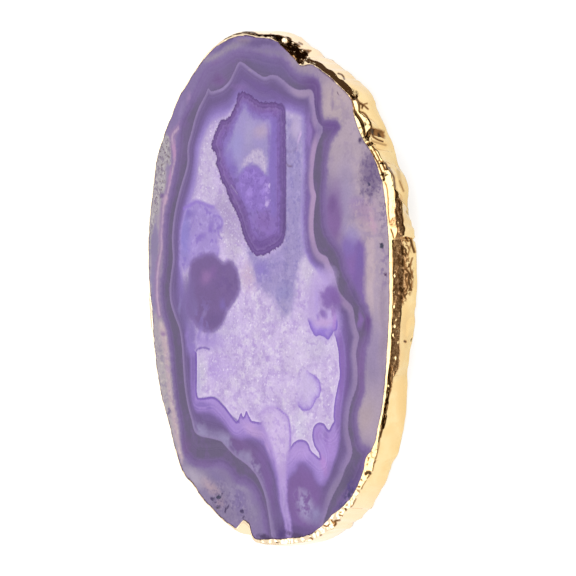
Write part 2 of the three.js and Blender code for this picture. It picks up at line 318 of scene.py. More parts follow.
def flats(places, size, seed):
    """Height of scattered tilted flats of that size, as on crumpled foil, in sizes."""
    scaled, cell = in_cells(places, size)
    nearest = np.full(len(places), np.inf)
    height = np.zeros(len(places))
    for offset in itertools.product((-1, 0, 1), repeat=3):
        home = cell + offset
        away = scaled - home - 0.5 - 0.4 * dice(home, seed)[:, :3]
        gap = (away * away).sum(1)
        tilt = (away * dice(home, seed + 1)[:, 1:]).sum(1)
        closer = gap < nearest
        nearest = np.where(closer, gap, nearest)
        height = np.where(closer, tilt, height)
    return height


def smooth_step(low, high, value):
    t = np.clip((value - low) / (high - low), 0, 1)
    return t * t * (3 - 2 * t)


def around(rows, degrees):
    """A closed curve through rows of (degrees, value), eased between them."""
    angle, value = np.array(sorted(rows), float).T
    angle = np.concatenate([[angle[-1] - 360], angle, [angle[0] + 360]])
    value = np.concatenate([[value[-1]], value, [value[0]]])
    degrees = np.asarray(degrees) % 360
    after = np.clip(np.searchsorted(angle, degrees, side="right"), 1, len(angle) - 1)
    share = smooth_step(0, 1, (degrees - angle[after - 1]) / (angle[after] - angle[after - 1]))
    return value[after - 1] + (value[after] - value[after - 1]) * share


# Reading the solids
def node_columns(node):
    """The edge of a CAD node in mm, by step around, point from the top down, and (radius, height)."""
    x, y, z = (np.array([v.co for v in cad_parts[node].data.vertices]) / MM).T
    step = 360 / CAD_STEPS
    columns = [{} for _ in range(CAD_STEPS)]
    for angle, radius, height in zip(np.degrees(np.arctan2(y, x)) % 360, np.hypot(x, y), z):
        if radius > HUB:
            columns[round(angle / step) % CAD_STEPS][round(height, 3)] = radius
    return np.array([[(r, h) for h, r in sorted(column.items(), reverse=True)] for column in columns])


STONE, BAND = node_columns("agate_slice"), node_columns("gilded_band")
FACE_HEIGHT, BACK_HEIGHT = STONE[0, :, 1]
LIP_HEIGHT = BAND[0, 0, 1]


def at_angle(columns, degrees):
    """Values that are known at each step around, at any angle, on a smooth closed curve."""
    place = (np.asarray(degrees) % 360) / 360 * CAD_STEPS
    whole = np.floor(place).astype(int)
    t = (place - whole).reshape((-1,) + (1,) * (columns.ndim - 1))
    return curve(*(columns[(whole + i) % CAD_STEPS] for i in (-1, 0, 1, 2)), t)


def new_mesh(name, places, faces):
    mesh = bpy.data.meshes.new(name)
    mesh.from_pydata([tuple(p) for p in places * MM], [], faces)
    mesh.validate()
    mesh.polygons.foreach_set("use_smooth", [True] * len(mesh.polygons))
    piece = bpy.data.objects.new(name, mesh)
    bpy.context.scene.collection.objects.link(piece)
    return piece


def store(piece, name, values):
    single = values.ndim == 1
    field = piece.data.attributes.new(name, "FLOAT" if single else "FLOAT_VECTOR", "POINT")
    field.data.foreach_set("value" if single else "vector", values.astype(np.float32).ravel())


# The stone
def disc_grid(squares):
    """A square grid drawn into a round disc: angle in degrees and share of the radius of each point."""
    a, b = np.meshgrid(*[np.linspace(-1, 1, squares + 1)] * 2, indexing="ij")
    wide = np.abs(a) > np.abs(b)
    safe_a, safe_b = np.where(a == 0, 1, a), np.where(b == 0, 1, b)
    turn = np.where(wide, math.pi / 4 * b / safe_a, math.pi / 2 - math.pi / 4 * a / safe_b)
    reach = np.where(wide, a, b)
    degrees = np.degrees(np.arctan2(reach * np.sin(turn), reach * np.cos(turn)))
    return degrees.ravel(), np.abs(reach).ravel()


def grid_faces(squares, start, flip):
    side = squares + 1
    first = [start + i * side + j for i in range(squares) for j in range(squares)]
    faces = [(p, p + side, p + side + 1, p + 1) for p in first]
    return [face[::-1] for face in faces] if flip else faces


def grid_rim(squares, start):
    """The points along the edge of the grid, anticlockwise."""
    side = squares + 1
    there, back = range(squares), range(squares, 0, -1)
    return [*(start + i * side for i in there), *(start + squares * side + j for j in there),
        *(start + i * side + squares for i in back), *(start + j for j in back)]


def build_stone():
    """The piece, and for each of its points the place in the pattern and the distance from the edge in mm."""
    degrees, share = disc_grid(TOP_GRID)
    back_degrees, back_share = disc_grid(BACK_GRID)

    def laid(angle, part, ring, height):
        radius = at_angle(STONE[:, ring, 0], angle) * part
        turn = np.radians(angle)
        return np.c_[radius * np.cos(turn), radius * np.sin(turn), np.full(len(angle), height)]

    face = laid(degrees, share, 0, FACE_HEIGHT)
    back = laid(back_degrees, back_share, 1, BACK_HEIGHT)
    back_pattern = laid(back_degrees, back_share, 0, BACK_HEIGHT)
    start = len(face)
    faces = grid_faces(TOP_GRID, 0, False) + grid_faces(BACK_GRID, start, True)
    top, low = grid_rim(TOP_GRID, 0), grid_rim(BACK_GRID, start)
    for i, p in enumerate(low):
        a, b, c = top[2 * i], top[2 * i + 1], top[(2 * i + 2) % len(top)]
        faces.append((p, b, a))
        faces.append((p, low[(i + 1) % len(low)], c, b))
    pattern = np.vstack([face, back_pattern]) - [*PATTERN_ORIGIN, 0]
    rim_radius = at_angle(STONE[:, 0, 0], np.concatenate([degrees, back_degrees]))
    edge = (1 - np.concatenate([share, back_share])) * rim_radius
    return new_mesh("agate_slice_polished", np.vstack([face, back]), faces), pattern, edge


def measure_pattern(piece, pattern, edge):
    """Stores what the material of the stone reads at each point."""
    places = pattern[:, :2]
    x, y = places.T
    fields = {name: distance_to(places, line) for name, line in CLOSED.items()}
    fields.update({name: distance_to(places, line, closed=False) for name, line in OPEN.items()})
    into, out_of = fields["pale_line"], np.maximum(-fields["core"], 0)
    fields["between"] = np.clip(into / np.maximum(into + out_of, 1e-6), 0, 1)
    # the pale line and the core's rim by their own widths, which change along them
    ridge = into / (0.62 + 0.88 * smooth_step(-5, 8, x))
    fields["ridge"] = ridge
    fields["rim"] = fields["core"] / (1 + 1.2 * smooth_step(-13, -19, x) * smooth_step(12, 20, y))
    # regions: a layer that is kept within one shows in full where it is above 0.5, and nowhere below -0.3
    past, short_of = np.maximum(ridge - 0.5, 0), np.maximum(0.1 - ridge, 0)
    fields["on_ridge"] = np.minimum(0.55 - 1.05 * past, 0.5 - 4 * short_of)
    fields["hazy"] = y + 3 + 7 * smooth_step(0, -10, x)
    fields["crisp"] = 0.2 - fields["hazy"]
    fields["low"] = (-6 - y) / 1.6
    fields["east"] = (x - 12) / 3
    fields["calm"] = x - 0.3
    fields["ragged"] = 2 - x
    fields["east_of_loop"] = (x - 8.6 - 0.5 * (y + 18)) / 2
    fields["edge"] = edge
    for name, values in fields.items():
        store(piece, name, values)
    store(piece, "pattern", pattern)


SOCKETS = {"VALUE": "NodeSocketFloat", "RGBA": "NodeSocketColor", "VECTOR": "NodeSocketVector"}


class Shader:
    """Adds nodes to a material or a world one after another. Long runs go into groups, because an edit takes
    longer in a long tree. What several groups use is made in the owner's own tree, the trunk."""

    def __init__(self, owner, surface="ShaderNodeBsdfPrincipled", output="ShaderNodeOutputMaterial"):
        self.owner = owner
        owner.use_nodes = True
        self.trunk = self.tree = owner.node_tree
        self.tree.nodes.clear()
        self.known = {}
        self.surface = self.add(surface)
        self.tree.links.new(self.surface.outputs[0], self.add(output).inputs["Surface"])

    def finish(self, inputs):
        """Links or sets the inputs of the surface, and gives the material or the world."""
        for key, value in inputs.items():
            self.put(self.surface.inputs[key], value)
        return self.owner

    def add(self, kind, inputs=None, tree=None, **settings):
        node = (tree or self.tree).nodes.new(kind)
        for key, value in settings.items():
            if getattr(node, key) != value:
                setattr(node, key, value)
        for key, value in (inputs or {}).items():
            self.put(node.inputs[key], value)
        return node

    def put(self, socket, value):
        """Links or sets an input. What is already as wanted is left, because each edit takes its time."""
        if isinstance(value, bpy.types.NodeSocket):
            socket.id_data.links.new(self.within_reach(value, socket.id_data), socket)
        elif isinstance(value, (int, float)):
            if socket.default_value != value:
                socket.default_value = value
        elif any(a != b for a, b in zip(socket.default_value, value)):
            socket.default_value = value

    def within_reach(self, value, tree):
        """A value of the trunk, inside of the group that is being filled."""
        if value.id_data == tree:
            return value
        mark = (value.node.name, value.identifier)
        if mark not in self.brought:
            name = f"in_{len(self.brought)}"
            tree.interface.new_socket(name=name, in_out="INPUT", socket_type=SOCKETS[value.type])
            self.brought[mark] = (len(self.brought), value)
        return self.entry.outputs[self.brought[mark][0]]

    def in_group(self, name, work, colour):
        """Adds what work(colour) adds as a group of its own, and gives the colour that comes out."""
        group = bpy.data.node_groups.new(name, "ShaderNodeTree")
        group.interface.new_socket(name="Colour", in_out="OUTPUT", socket_type="NodeSocketColor")
        self.tree, self.brought, self.entry = group, {}, group.nodes.new("NodeGroupInput")
        result = work(colour)
        self.put(group.nodes.new("NodeGroupOutput").inputs[0], result)
        self.tree = self.trunk
        node = self.add("ShaderNodeGroup")
        node.node_tree = group
        for index, value in self.brought.values():
            self.put(node.inputs[index], value)
        return node.outputs[0]

    def once(self, kind, inputs=None, tree=None, **settings):
        """The same as add, but what has been added once with the same inputs is used again."""
        def mark(value):
            if isinstance(value, bpy.types.NodeSocket):
                return value.id_data.name, value.node.name, value.identifier
            return value

        tree = tree or self.tree
        key = (tree.name, kind, *((k, mark(v)) for k, v in (inputs or {}).items()), *settings.items())
        if key not in self.known:
            self.known[key] = self.add(kind, inputs, tree, **settings)
        return self.known[key]

    def field(self, name, output="Fac"):
        return self.once("ShaderNodeAttribute", tree=self.trunk, attribute_name=name).outputs[output]

    def math(self, operation, *values):
        return self.once("ShaderNodeMath", dict(enumerate(values)), operation=operation).outputs[0]

    def vector(self, operation, *values):
        """A vector that comes of vectors, or the number that does."""
        node = self.once("ShaderNodeVectorMath", dict(enumerate(values)), operation=operation)
        return node.outputs["Value" if operation in ("DOT_PRODUCT", "LENGTH") else "Vector"]

    def span(self, value, low, high, out_low=0.0, out_high=1.0, kind="SMOOTHSTEP", tree=None):
        inputs = {"Value": value, "From Min": low, "From Max": high, "To Min": out_low, "To Max": out_high}
        node = self.once("ShaderNodeMapRange", inputs, tree, interpolation_type=kind, clamp=False)
        return node.outputs["Result"]

    def noise(self, place, size, detail=2.0, roughness=0.5):
        inputs = {"Vector": place, "Scale": 1 / size, "Detail": detail, "Roughness": roughness}
        return self.once("ShaderNodeTexNoise", inputs, self.trunk).outputs["Fac"]

    def mix(self, share, a, b, blend="MIX"):
        node = self.add("ShaderNodeMix", data_type="RGBA", blend_type=blend, clamp_factor=True)
        for socket, value in ((node.inputs[0], share), (node.inputs[6], a), (node.inputs[7], b)):
            self.put(socket, value)
        return node.outputs[2]

    def ramp(self, value, stops):
        """Stops are (place from 0 to 1, colour of four numbers)."""
        node = self.add("ShaderNodeValToRGB", {"Fac": value})
        elements = node.color_ramp.elements
        elements[0].position, elements[0].color = stops[0]
        elements[1].position, elements[1].color = stops[-1]
        for place, colour in stops[1:-1]:
            elements.new(place).color = colour
        return node.outputs["Color"], node.outputs["Alpha"]


def linear(colour):
    """Linear values of an sRGB colour given from 0 to 255."""
    share = [c / 255 for c in colour]
    return [c / 12.92 if c <= 0.04045 else ((c + 0.055) / 1.055) ** 2.4 for c in share]


def stone_tone(colour, alpha=1.0):
    """The stone's own colour where it looks like this one under the studio light."""
    return [max((c - FACE_GLOSS) / FACE_LIGHT, 0.004) for c in linear(colour)] + [alpha]


# The pattern's layers, each painted over those before it.
# Bands: what lies along an outline, by the distance into it in mm, as rows of (mm, colour, cover).
# Tints: soft patches, with middle and radii in mm, turn in degrees, and how soft they are from 0 to 1.
# Both can be broken up into speckles: their size in mm, and the noise at which they begin and are full.
VIOLET, SLATE, PLUM = (134, 114, 165), (112, 101, 130), (118, 99, 145)
LILAC, CRYSTAL = (166, 146, 209), (206, 188, 228)


def band(field, *rows, grain=0.0, fine=0.0, cover=1.0, within=None, speckle=None):
    return {"field": field, "rows": rows, "grain": grain, "fine": fine, "cover": cover, "within": within,
        "speckle": speckle}


def tint(x, y, wide, high, colour, turn=0, soft=0.9, cover=0.8, within=None, grain=0.5, speckle=None):
    return {"middle": (x, y), "radii": (wide, high), "colour": colour, "turn": turn, "soft": soft,
        "cover": cover, "within": within, "grain": grain, "speckle": speckle}


def line(field, colour, half, soft=0.4, cover=1.0, grain=0.0):
    """A line of that half width along an open outline."""
    return band(field, (half, colour, 1.0), (half + soft, colour, 0.0), grain=grain, cover=cover)


def stripes(field, low, high, dark, light, size=0.7, cover=0.4, shake=0.05):
    """Fine growth lines that follow an outline, between two distances into it."""
    return {"stripes": field, "low": low, "high": high, "dark": dark, "light": light, "size": size,
        "cover": cover, "shake": shake, "within": None, "speckle": None}


def mottles(field, start, *tones):
    """Spots inside an outline, as rows of (size, colour, cover, noise at which they begin, and are full)."""
    return [band(field, (start, colour, 0.0), (start + 0.5, colour, 1.0), cover=cover,
        speckle=(size, low, high)) for size, colour, cover, low, high in tones]


def inside(field, *layers):
    """The layers, kept within that outline or region."""
    return [{**layer, "within": field} for layer in layers]


OUTER_ZONE = [
    tint(-41, 0, 9, 34, (174, 162, 176), soft=0.7, cover=1),
    tint(-37, -22, 6, 16, (181, 171, 178), turn=20, soft=0.6, cover=1),
    tint(-38, -20, 6, 18, (160, 148, 170), turn=20, soft=0.6, speckle=(1.5, 0.5, 0.62)),
    tint(-38.5, -19, 5, 14, (206, 194, 192), turn=20, soft=0.6, cover=0.6, speckle=(0.9, 0.54, 0.66)),
    tint(-40, 8, 1.6, 9.5, (148, 135, 170), soft=0.5, cover=1, grain=0.4),
    tint(-40.2, -1, 1.1, 6, (146, 134, 172), soft=0.7, cover=1, grain=0.4),
    tint(-28, 40, 3, 3, (140, 122, 168), turn=40, cover=0.7),
    tint(-28.5, 39, 0.9, 1.4, (160, 135, 178), turn=-40),
    tint(-31, 36.5, 0.8, 2, (150, 132, 178), turn=-20, cover=0.7),
    tint(-20, -42, 15, 6, (144, 131, 163), turn=-20, soft=0.6, cover=1),
    tint(-26, -38.8, 4.5, 1.8, (177, 166, 187), turn=-20, cover=1),
    tint(-21, -40.4, 3.2, 1.2, (180, 158, 172), turn=-20, cover=0.9),
    tint(-18, -43.3, 1.6, 1.2, (158, 138, 160)),
    tint(-19, -38, 4, 1.1, (136, 122, 165), turn=-20),
    tint(-12, -42.5, 2.6, 3.4, (134, 119, 163), turn=40, soft=0.8, cover=1),
    tint(-11.5, -40.3, 3, 0.7, (154, 142, 172), turn=-20),
    tint(-14.5, -41, 1, 3, (152, 140, 172), turn=20, cover=0.7),
    tint(-8, -44, 1.2, 3, (150, 138, 170), turn=20, cover=0.7),
    tint(-15, -43, 9, 4, (120, 106, 146), turn=-20, soft=0.6, cover=0.6, speckle=(1.1, 0.52, 0.64)),
    tint(-15, -43, 9, 4, (166, 152, 180), turn=-20, soft=0.6, cover=0.5, speckle=(0.8, 0.54, 0.66)),
    tint(33, 0, 17, 44, (178, 161, 179), soft=0.45, cover=1),
    tint(18, 36, 8, 8, (188, 170, 178), soft=0.8, cover=1),
    tint(22, 26, 9, 9, (182, 165, 180), soft=0.7, cover=1),
    tint(20.5, 17, 3.5, 9, (160, 146, 182)),
    tint(8, 44, 7, 2, (166, 150, 170), turn=-20, cover=1),
    tint(28.2, 4, 2.1, 11, (194, 174, 186), soft=0.8, cover=0.9),
    tint(30, -5.5, 1.6, 4, (188, 170, 186)),
    tint(29.5, 3, 1, 14, (172, 156, 180), soft=0.8, cover=0.7),
    tint(28.5, -13, 3.4, 8, (156, 140, 174), soft=0.8, cover=0.95),
    tint(31.5, -10, 1.2, 14, (158, 141, 166)),
    tint(26.2, -25, 2.8, 3.5, (180, 162, 172), soft=0.8, cover=0.9),
    tint(27.5, 13, 3.6, 4.2, (186, 162, 180)),
    tint(25.5, 15, 4, 2.2, (170, 142, 178), turn=-20, cover=0.7),
    tint(28.4, 12.6, 1, 2.4, (196, 160, 186), turn=20, cover=0.7),
    tint(24, 16.8, 2.4, 1, (158, 136, 178), cover=0.7),
    tint(26, 14, 6, 14, (152, 136, 172), soft=0.6, cover=0.5, speckle=(1.8, 0.5, 0.62)),
    tint(26, 8, 6, 16, (196, 176, 186), soft=0.6, cover=0.45, speckle=(1.4, 0.54, 0.66)),
    tint(19, 30, 7, 11, (160, 142, 172), soft=0.6, cover=0.4, speckle=(2.2, 0.5, 0.62)),
    tint(17, 13.5, 3.4, 7, (136, 108, 161), soft=0.7, cover=1),
    tint(16.5, 16.5, 1.6, 1.8, (124, 97, 150)),
    tint(24, -35, 3, 6, (118, 97, 148), turn=-40, soft=0.7, cover=1),
    tint(16.3, 35.8, 0.5, 1.1, (156, 138, 166), soft=0.8),
    tint(16.5, 38, 0.5, 0.9, (160, 142, 168), soft=0.8, cover=0.7),
    tint(18.1, 37.4, 0.4, 0.25, (112, 92, 118), turn=-40, soft=0.7),
    band("top_streak", (0, (158, 146, 166), 0.9), (1.0, (156, 143, 167), 0.0), grain=0.4),
    tint(-10.5, 49.4, 2.6, 0.5, (158, 140, 160), cover=0.9),
    band("top_streak_right", (0, (144, 130, 162), 0.8), (1.0, (144, 130, 162), 0.0), grain=0.4),
    tint(-16, 49.6, 5, 0.6, (116, 100, 146), turn=20),
    tint(-5, 49, 7, 0.9, (118, 101, 146), cover=1),
    tint(-19.5, 45.3, 2.2, 0.9, (142, 116, 162)),
    tint(28.8, 23, 3.6, 6.5, (124, 107, 142), turn=-20, soft=0.5, grain=2.2),
    tint(29.3, 22.6, 3.6, 7, (112, 95, 134), turn=-20, soft=0.5, grain=2.2, speckle=(1.0, 0.44, 0.58)),
    tint(31.6, 15, 1.6, 6, (132, 116, 150), soft=0.8, cover=0.7, grain=1.4, speckle=(1.0, 0.46, 0.58)),
    tint(31.6, 4.5, 1.3, 6, (140, 122, 160), soft=0.8, cover=0.7, grain=1.4, speckle=(1.3, 0.46, 0.6)),
    tint(27.1, 19.6, 0.6, 0.45, (84, 70, 108), turn=-20, soft=0.7, cover=1, grain=1.0),
    tint(31.1, 7.9, 0.75, 0.4, (72, 58, 96), soft=0.6, cover=1, grain=0.8),
    tint(32, 2.3, 0.55, 0.35, (104, 82, 112), soft=0.8, cover=1, grain=0.8),
    tint(25.2, 28, 0.9, 0.5, (92, 78, 112), soft=0.8, cover=1),
    band("rind", (-0.3, (176, 168, 176), 0.0), (0.4, (176, 168, 176), 1.0), grain=0.5),
    *mottles("rind", 0, (1.1, (148, 136, 154), 0.9, 0.48, 0.56), (0.8, (194, 187, 190), 0.8, 0.52, 0.6),
        (0.7, (120, 104, 112), 0.7, 0.6, 0.66)),
    band("pink_band", (-0.4, (195, 174, 184), 0.0), (0.8, (194, 173, 183), 1.0), grain=0.5),
    *mottles("pink_band", 0, (1.6, (206, 190, 192), 0.7, 0.48, 0.62),
        (1.2, (178, 156, 182), 0.7, 0.52, 0.64)),
    tint(-36.8, -9.5, 1.2, 0.7, (152, 124, 168), soft=0.8),
    tint(-35.3, -25.6, 0.7, 0.6, (124, 112, 146), turn=20, soft=0.8, grain=1.5),
    line("pink_line", (158, 132, 172), 0.5, 0.9, grain=0.4, cover=0.8),
    line("pink_line", (188, 162, 190), 0.12, 0.35, grain=0.12),
    tint(-33.2, 28.5, 0.8, 2.2, (188, 150, 190), soft=0.8, cover=1),
    tint(-34.8, 22.8, 0.6, 1.6, (178, 140, 182), turn=-20, soft=0.8, cover=1),
    tint(-36.3, 18.4, 1.1, 0.8, (194, 164, 190), turn=40, soft=0.8, cover=1),
    tint(-37.6, 19.3, 0.8, 0.8, (122, 98, 146), soft=0.8),
]
DARK_BAND = [
    tint(19.8, 3.8, 1.8, 4.6, (130, 108, 170), turn=20, cover=0.9),
    tint(21.4, -1.4, 1.6, 3, (126, 104, 162), turn=20, cover=0.9),
    band("purple_patch", (-1.0, (134, 107, 170), 0.0), (0.6, (132, 105, 170), 0.95),
        (2.5, (130, 104, 168), 1.0), grain=0.25),
    tint(22.6, 10.4, 3, 2, (162, 148, 194), soft=0.95),
    tint(21.6, 7.8, 2.2, 2, (142, 122, 188), cover=0.7),
    tint(22.5, 4.5, 1.8, 2.6, (142, 112, 172), cover=0.7),
    tint(24.6, 5.5, 1.2, 3, (128, 106, 172)),
    band("outer_band", (-0.9, VIOLET, 0.0), (0.2, (128, 106, 158), 0.9), (1.1, PLUM, 1.0), (2.0, SLATE, 1.0),
        grain=0.35, cover=0.97),
    *inside("outer_band",
        tint(-22, 43, 12, 4, (132, 113, 160), turn=20, cover=0.9),
        tint(-18.5, 42.2, 2.6, 1.2, (126, 96, 150)),
        tint(-2, 44.5, 9, 3, (121, 105, 152), turn=-20),
        tint(-9, 46.6, 4, 0.8, (126, 108, 156), turn=-20, cover=0.7),
        tint(11, 38.5, 4, 4.5, (114, 88, 143), cover=0.9),
        tint(12, 35, 0.9, 5, (106, 86, 136), turn=20, cover=0.7),
        tint(16.5, 31.5, 4, 1.8, (116, 90, 148), cover=0.9),
        tint(15, 27.5, 1.2, 3, (126, 104, 152), cover=0.7),
        tint(23.5, -1, 2, 2, (112, 96, 138)),
        tint(25.4, -16, 2.5, 7, (131, 104, 156), cover=0.9),
        tint(26.7, -7, 1.3, 1.8, (114, 86, 140), cover=0.95),
        tint(24.6, -6.4, 0.9, 1.9, (142, 112, 176), soft=0.8, cover=0.9),
        tint(-31, 28, 2.5, 8, (127, 108, 151), turn=-20, cover=0.6),
        tint(-30, -33, 2, 3, (126, 100, 148), turn=-20),
        tint(-24, -36, 4, 1, (126, 104, 152)),
        tint(24.5, -36.5, 4.5, 3, (104, 86, 132), turn=40, cover=0.7)),
    stripes("outer_band", 0.0, 7.0, (100, 88, 120), (150, 132, 176), size=0.9, cover=0.18, shake=0.15),
    *mottles("outer_band", 0.6, (3.0, (128, 104, 156), 0.3, 0.52, 0.66)),
]
VIOLET_BANDS = [  # between the pale line and the core
    band("pale_line", (-0.12, PLUM, 0.0), (0.08, PLUM, 1.0), fine=0.12),
    {"ramp": "between", "stops": [
        (0.0, (130, 112, 156)), (0.2, (121, 103, 149)), (0.42, (118, 100, 147)), (0.6, (127, 107, 162)),
        (0.78, (138, 117, 180)), (0.92, (146, 126, 190)), (1.0, (150, 130, 194))]},
    *inside("pale_line",
        tint(9.7, 18, 1.6, 16, (134, 110, 172)),
        tint(-3, 39.2, 9, 0.9, (122, 100, 158), turn=-20),
        tint(-12, 40.4, 3, 0.8, (138, 112, 168), cover=0.6),
        tint(11, 31, 2.2, 3, (128, 100, 162), cover=0.7),
        tint(9.6, 30, 1, 4, (156, 130, 194)),
        tint(20.8, -18, 1.2, 11, (124, 98, 156)),
        tint(-10, -32, 8, 2.2, (126, 101, 152), turn=-20, cover=1),
        tint(-3.2, -38, 1.6, 7, (128, 102, 158), turn=20, cover=1)),
    stripes("pale_line", 0.8, 6.5, (104, 88, 132), (158, 138, 196), size=0.8, cover=0.18, shake=0.15),
    band("ridge", (-0.12, (142, 124, 167), 0.0), (0.1, (150, 132, 174), 1.0), (0.5, (146, 128, 172), 0.9),
        (1.5, (134, 116, 162), 0.0), fine=0.1),
    *inside("on_ridge",
        tint(-17, 40.6, 5, 1.4, (156, 138, 184), soft=0.8, cover=0.9),
        tint(-6, 43, 7, 1.4, (148, 131, 178), turn=-20, soft=0.8),
        tint(-8.8, 43.6, 1, 0.5, (166, 148, 176), soft=0.8, cover=0.7),
        tint(7.5, 38.4, 4.5, 2, (166, 146, 180), turn=-20, soft=0.7, cover=0.95),
        tint(11.7, 35, 1.4, 5, (160, 138, 182), soft=0.8, cover=0.9),
        tint(11, 25, 2, 7, (172, 146, 186), soft=0.7, cover=1),
        tint(10.9, 15, 2, 9, (176, 150, 188), soft=0.7, cover=1),
        tint(15, 5.8, 5, 3.4, (168, 145, 184), turn=-40, soft=0.7, cover=1),
        tint(20, -3.4, 4, 2.4, (156, 134, 174), turn=-40, soft=0.8, cover=1),
        tint(23.6, -12, 1.6, 9, (158, 138, 176), soft=0.8, cover=0.9),
        tint(22, -29, 1.6, 6, (150, 130, 172), soft=0.8, cover=0.9),
        tint(17.5, -39, 4.5, 1.6, (146, 130, 166), turn=40, soft=0.8, cover=0.9)),
    *inside("pale_line",
        tint(-24, -29.6, 4, 1.8, (154, 144, 183), turn=-20, soft=0.8, cover=1, speckle=(3.6, 0.42, 0.56)),
        tint(-15, -31.6, 6, 2.2, (154, 144, 183), turn=-20, soft=0.8, cover=1, speckle=(4.2, 0.4, 0.56)),
        tint(-9.4, -33.4, 1.8, 1.6, (156, 145, 184), turn=-40),
        tint(-7.2, -35.6, 3, 1.8, (160, 146, 186), turn=-40, cover=0.9, speckle=(1.6, 0.36, 0.54)),
        tint(-3.9, -41.2, 1.2, 3.6, (150, 134, 178), turn=20, cover=0.9),
        tint(-2.2, -46.5, 0.9, 3, (150, 134, 176), turn=20),
        tint(8, -41, 6.5, 7, (132, 104, 161), soft=0.5, cover=1),
        tint(8.6, -42.5, 3.4, 2.6, (166, 155, 196), turn=-40, soft=0.8, cover=1, speckle=(2.0, 0.36, 0.52)),
        tint(12, -44.4, 2.4, 1.6, (150, 142, 184), turn=20),
        tint(7.2, -40.5, 0.7, 1.6, (166, 148, 192), cover=0.7),
        tint(5, -47.6, 6, 1.2, (108, 88, 134))),
]
HALO_LAYERS = [  # the lilac band around the lower half of the core, the stem, and what hangs from the core
    band("halo", (-0.7, (138, 114, 178), 0.0), (0.2, (152, 127, 194), 0.85), (1.0, (164, 138, 206), 1.0),
        (2.2, (172, 146, 212), 1.0), grain=0.15),
    *inside("halo",
        tint(-24, -23.8, 4, 1, (138, 116, 184), soft=0.8),
        tint(-27, -17, 1.2, 6, (132, 110, 172), soft=0.8, cover=0.9),
        tint(19.6, -16, 1.4, 12, (140, 111, 178), soft=0.6, cover=0.95),
        tint(18.6, -25.5, 1.2, 5, (146, 118, 184), soft=0.7, cover=0.9),
        tint(18.4, -7, 1.4, 4, (146, 116, 190), soft=0.8, cover=0.9),
        tint(7, -32.3, 4, 1.7, (184, 156, 220), soft=0.8, cover=0.9),
        tint(16.3, -31, 2.2, 4, (172, 142, 210), soft=0.8, cover=0.9),
        tint(15.5, -35.5, 1.6, 2.2, (156, 128, 192)),
        tint(13.6, -33.6, 1.1, 2.8, (186, 144, 212), turn=20, cover=0.7),
        tint(12.6, -28.4, 1.3, 1.6, (166, 134, 206)),
        tint(14.8, -29.4, 0.7, 2, (150, 120, 192), cover=0.7),
        tint(-7.4, -28.4, 4, 1.3, (192, 163, 214), turn=-20),
        tint(-3, -32, 1.2, 3, (184, 156, 212), turn=20),
        stripes("core", -4.5, 0.6, (138, 108, 184), (196, 168, 228), size=0.55, cover=0.32, shake=0.12),
        tint(1.8, -43, 1.2, 6, (160, 136, 198), soft=0.8, cover=0.9),
        tint(3.3, -48, 2.0, 2.4, (140, 116, 176), cover=0.9)),
]
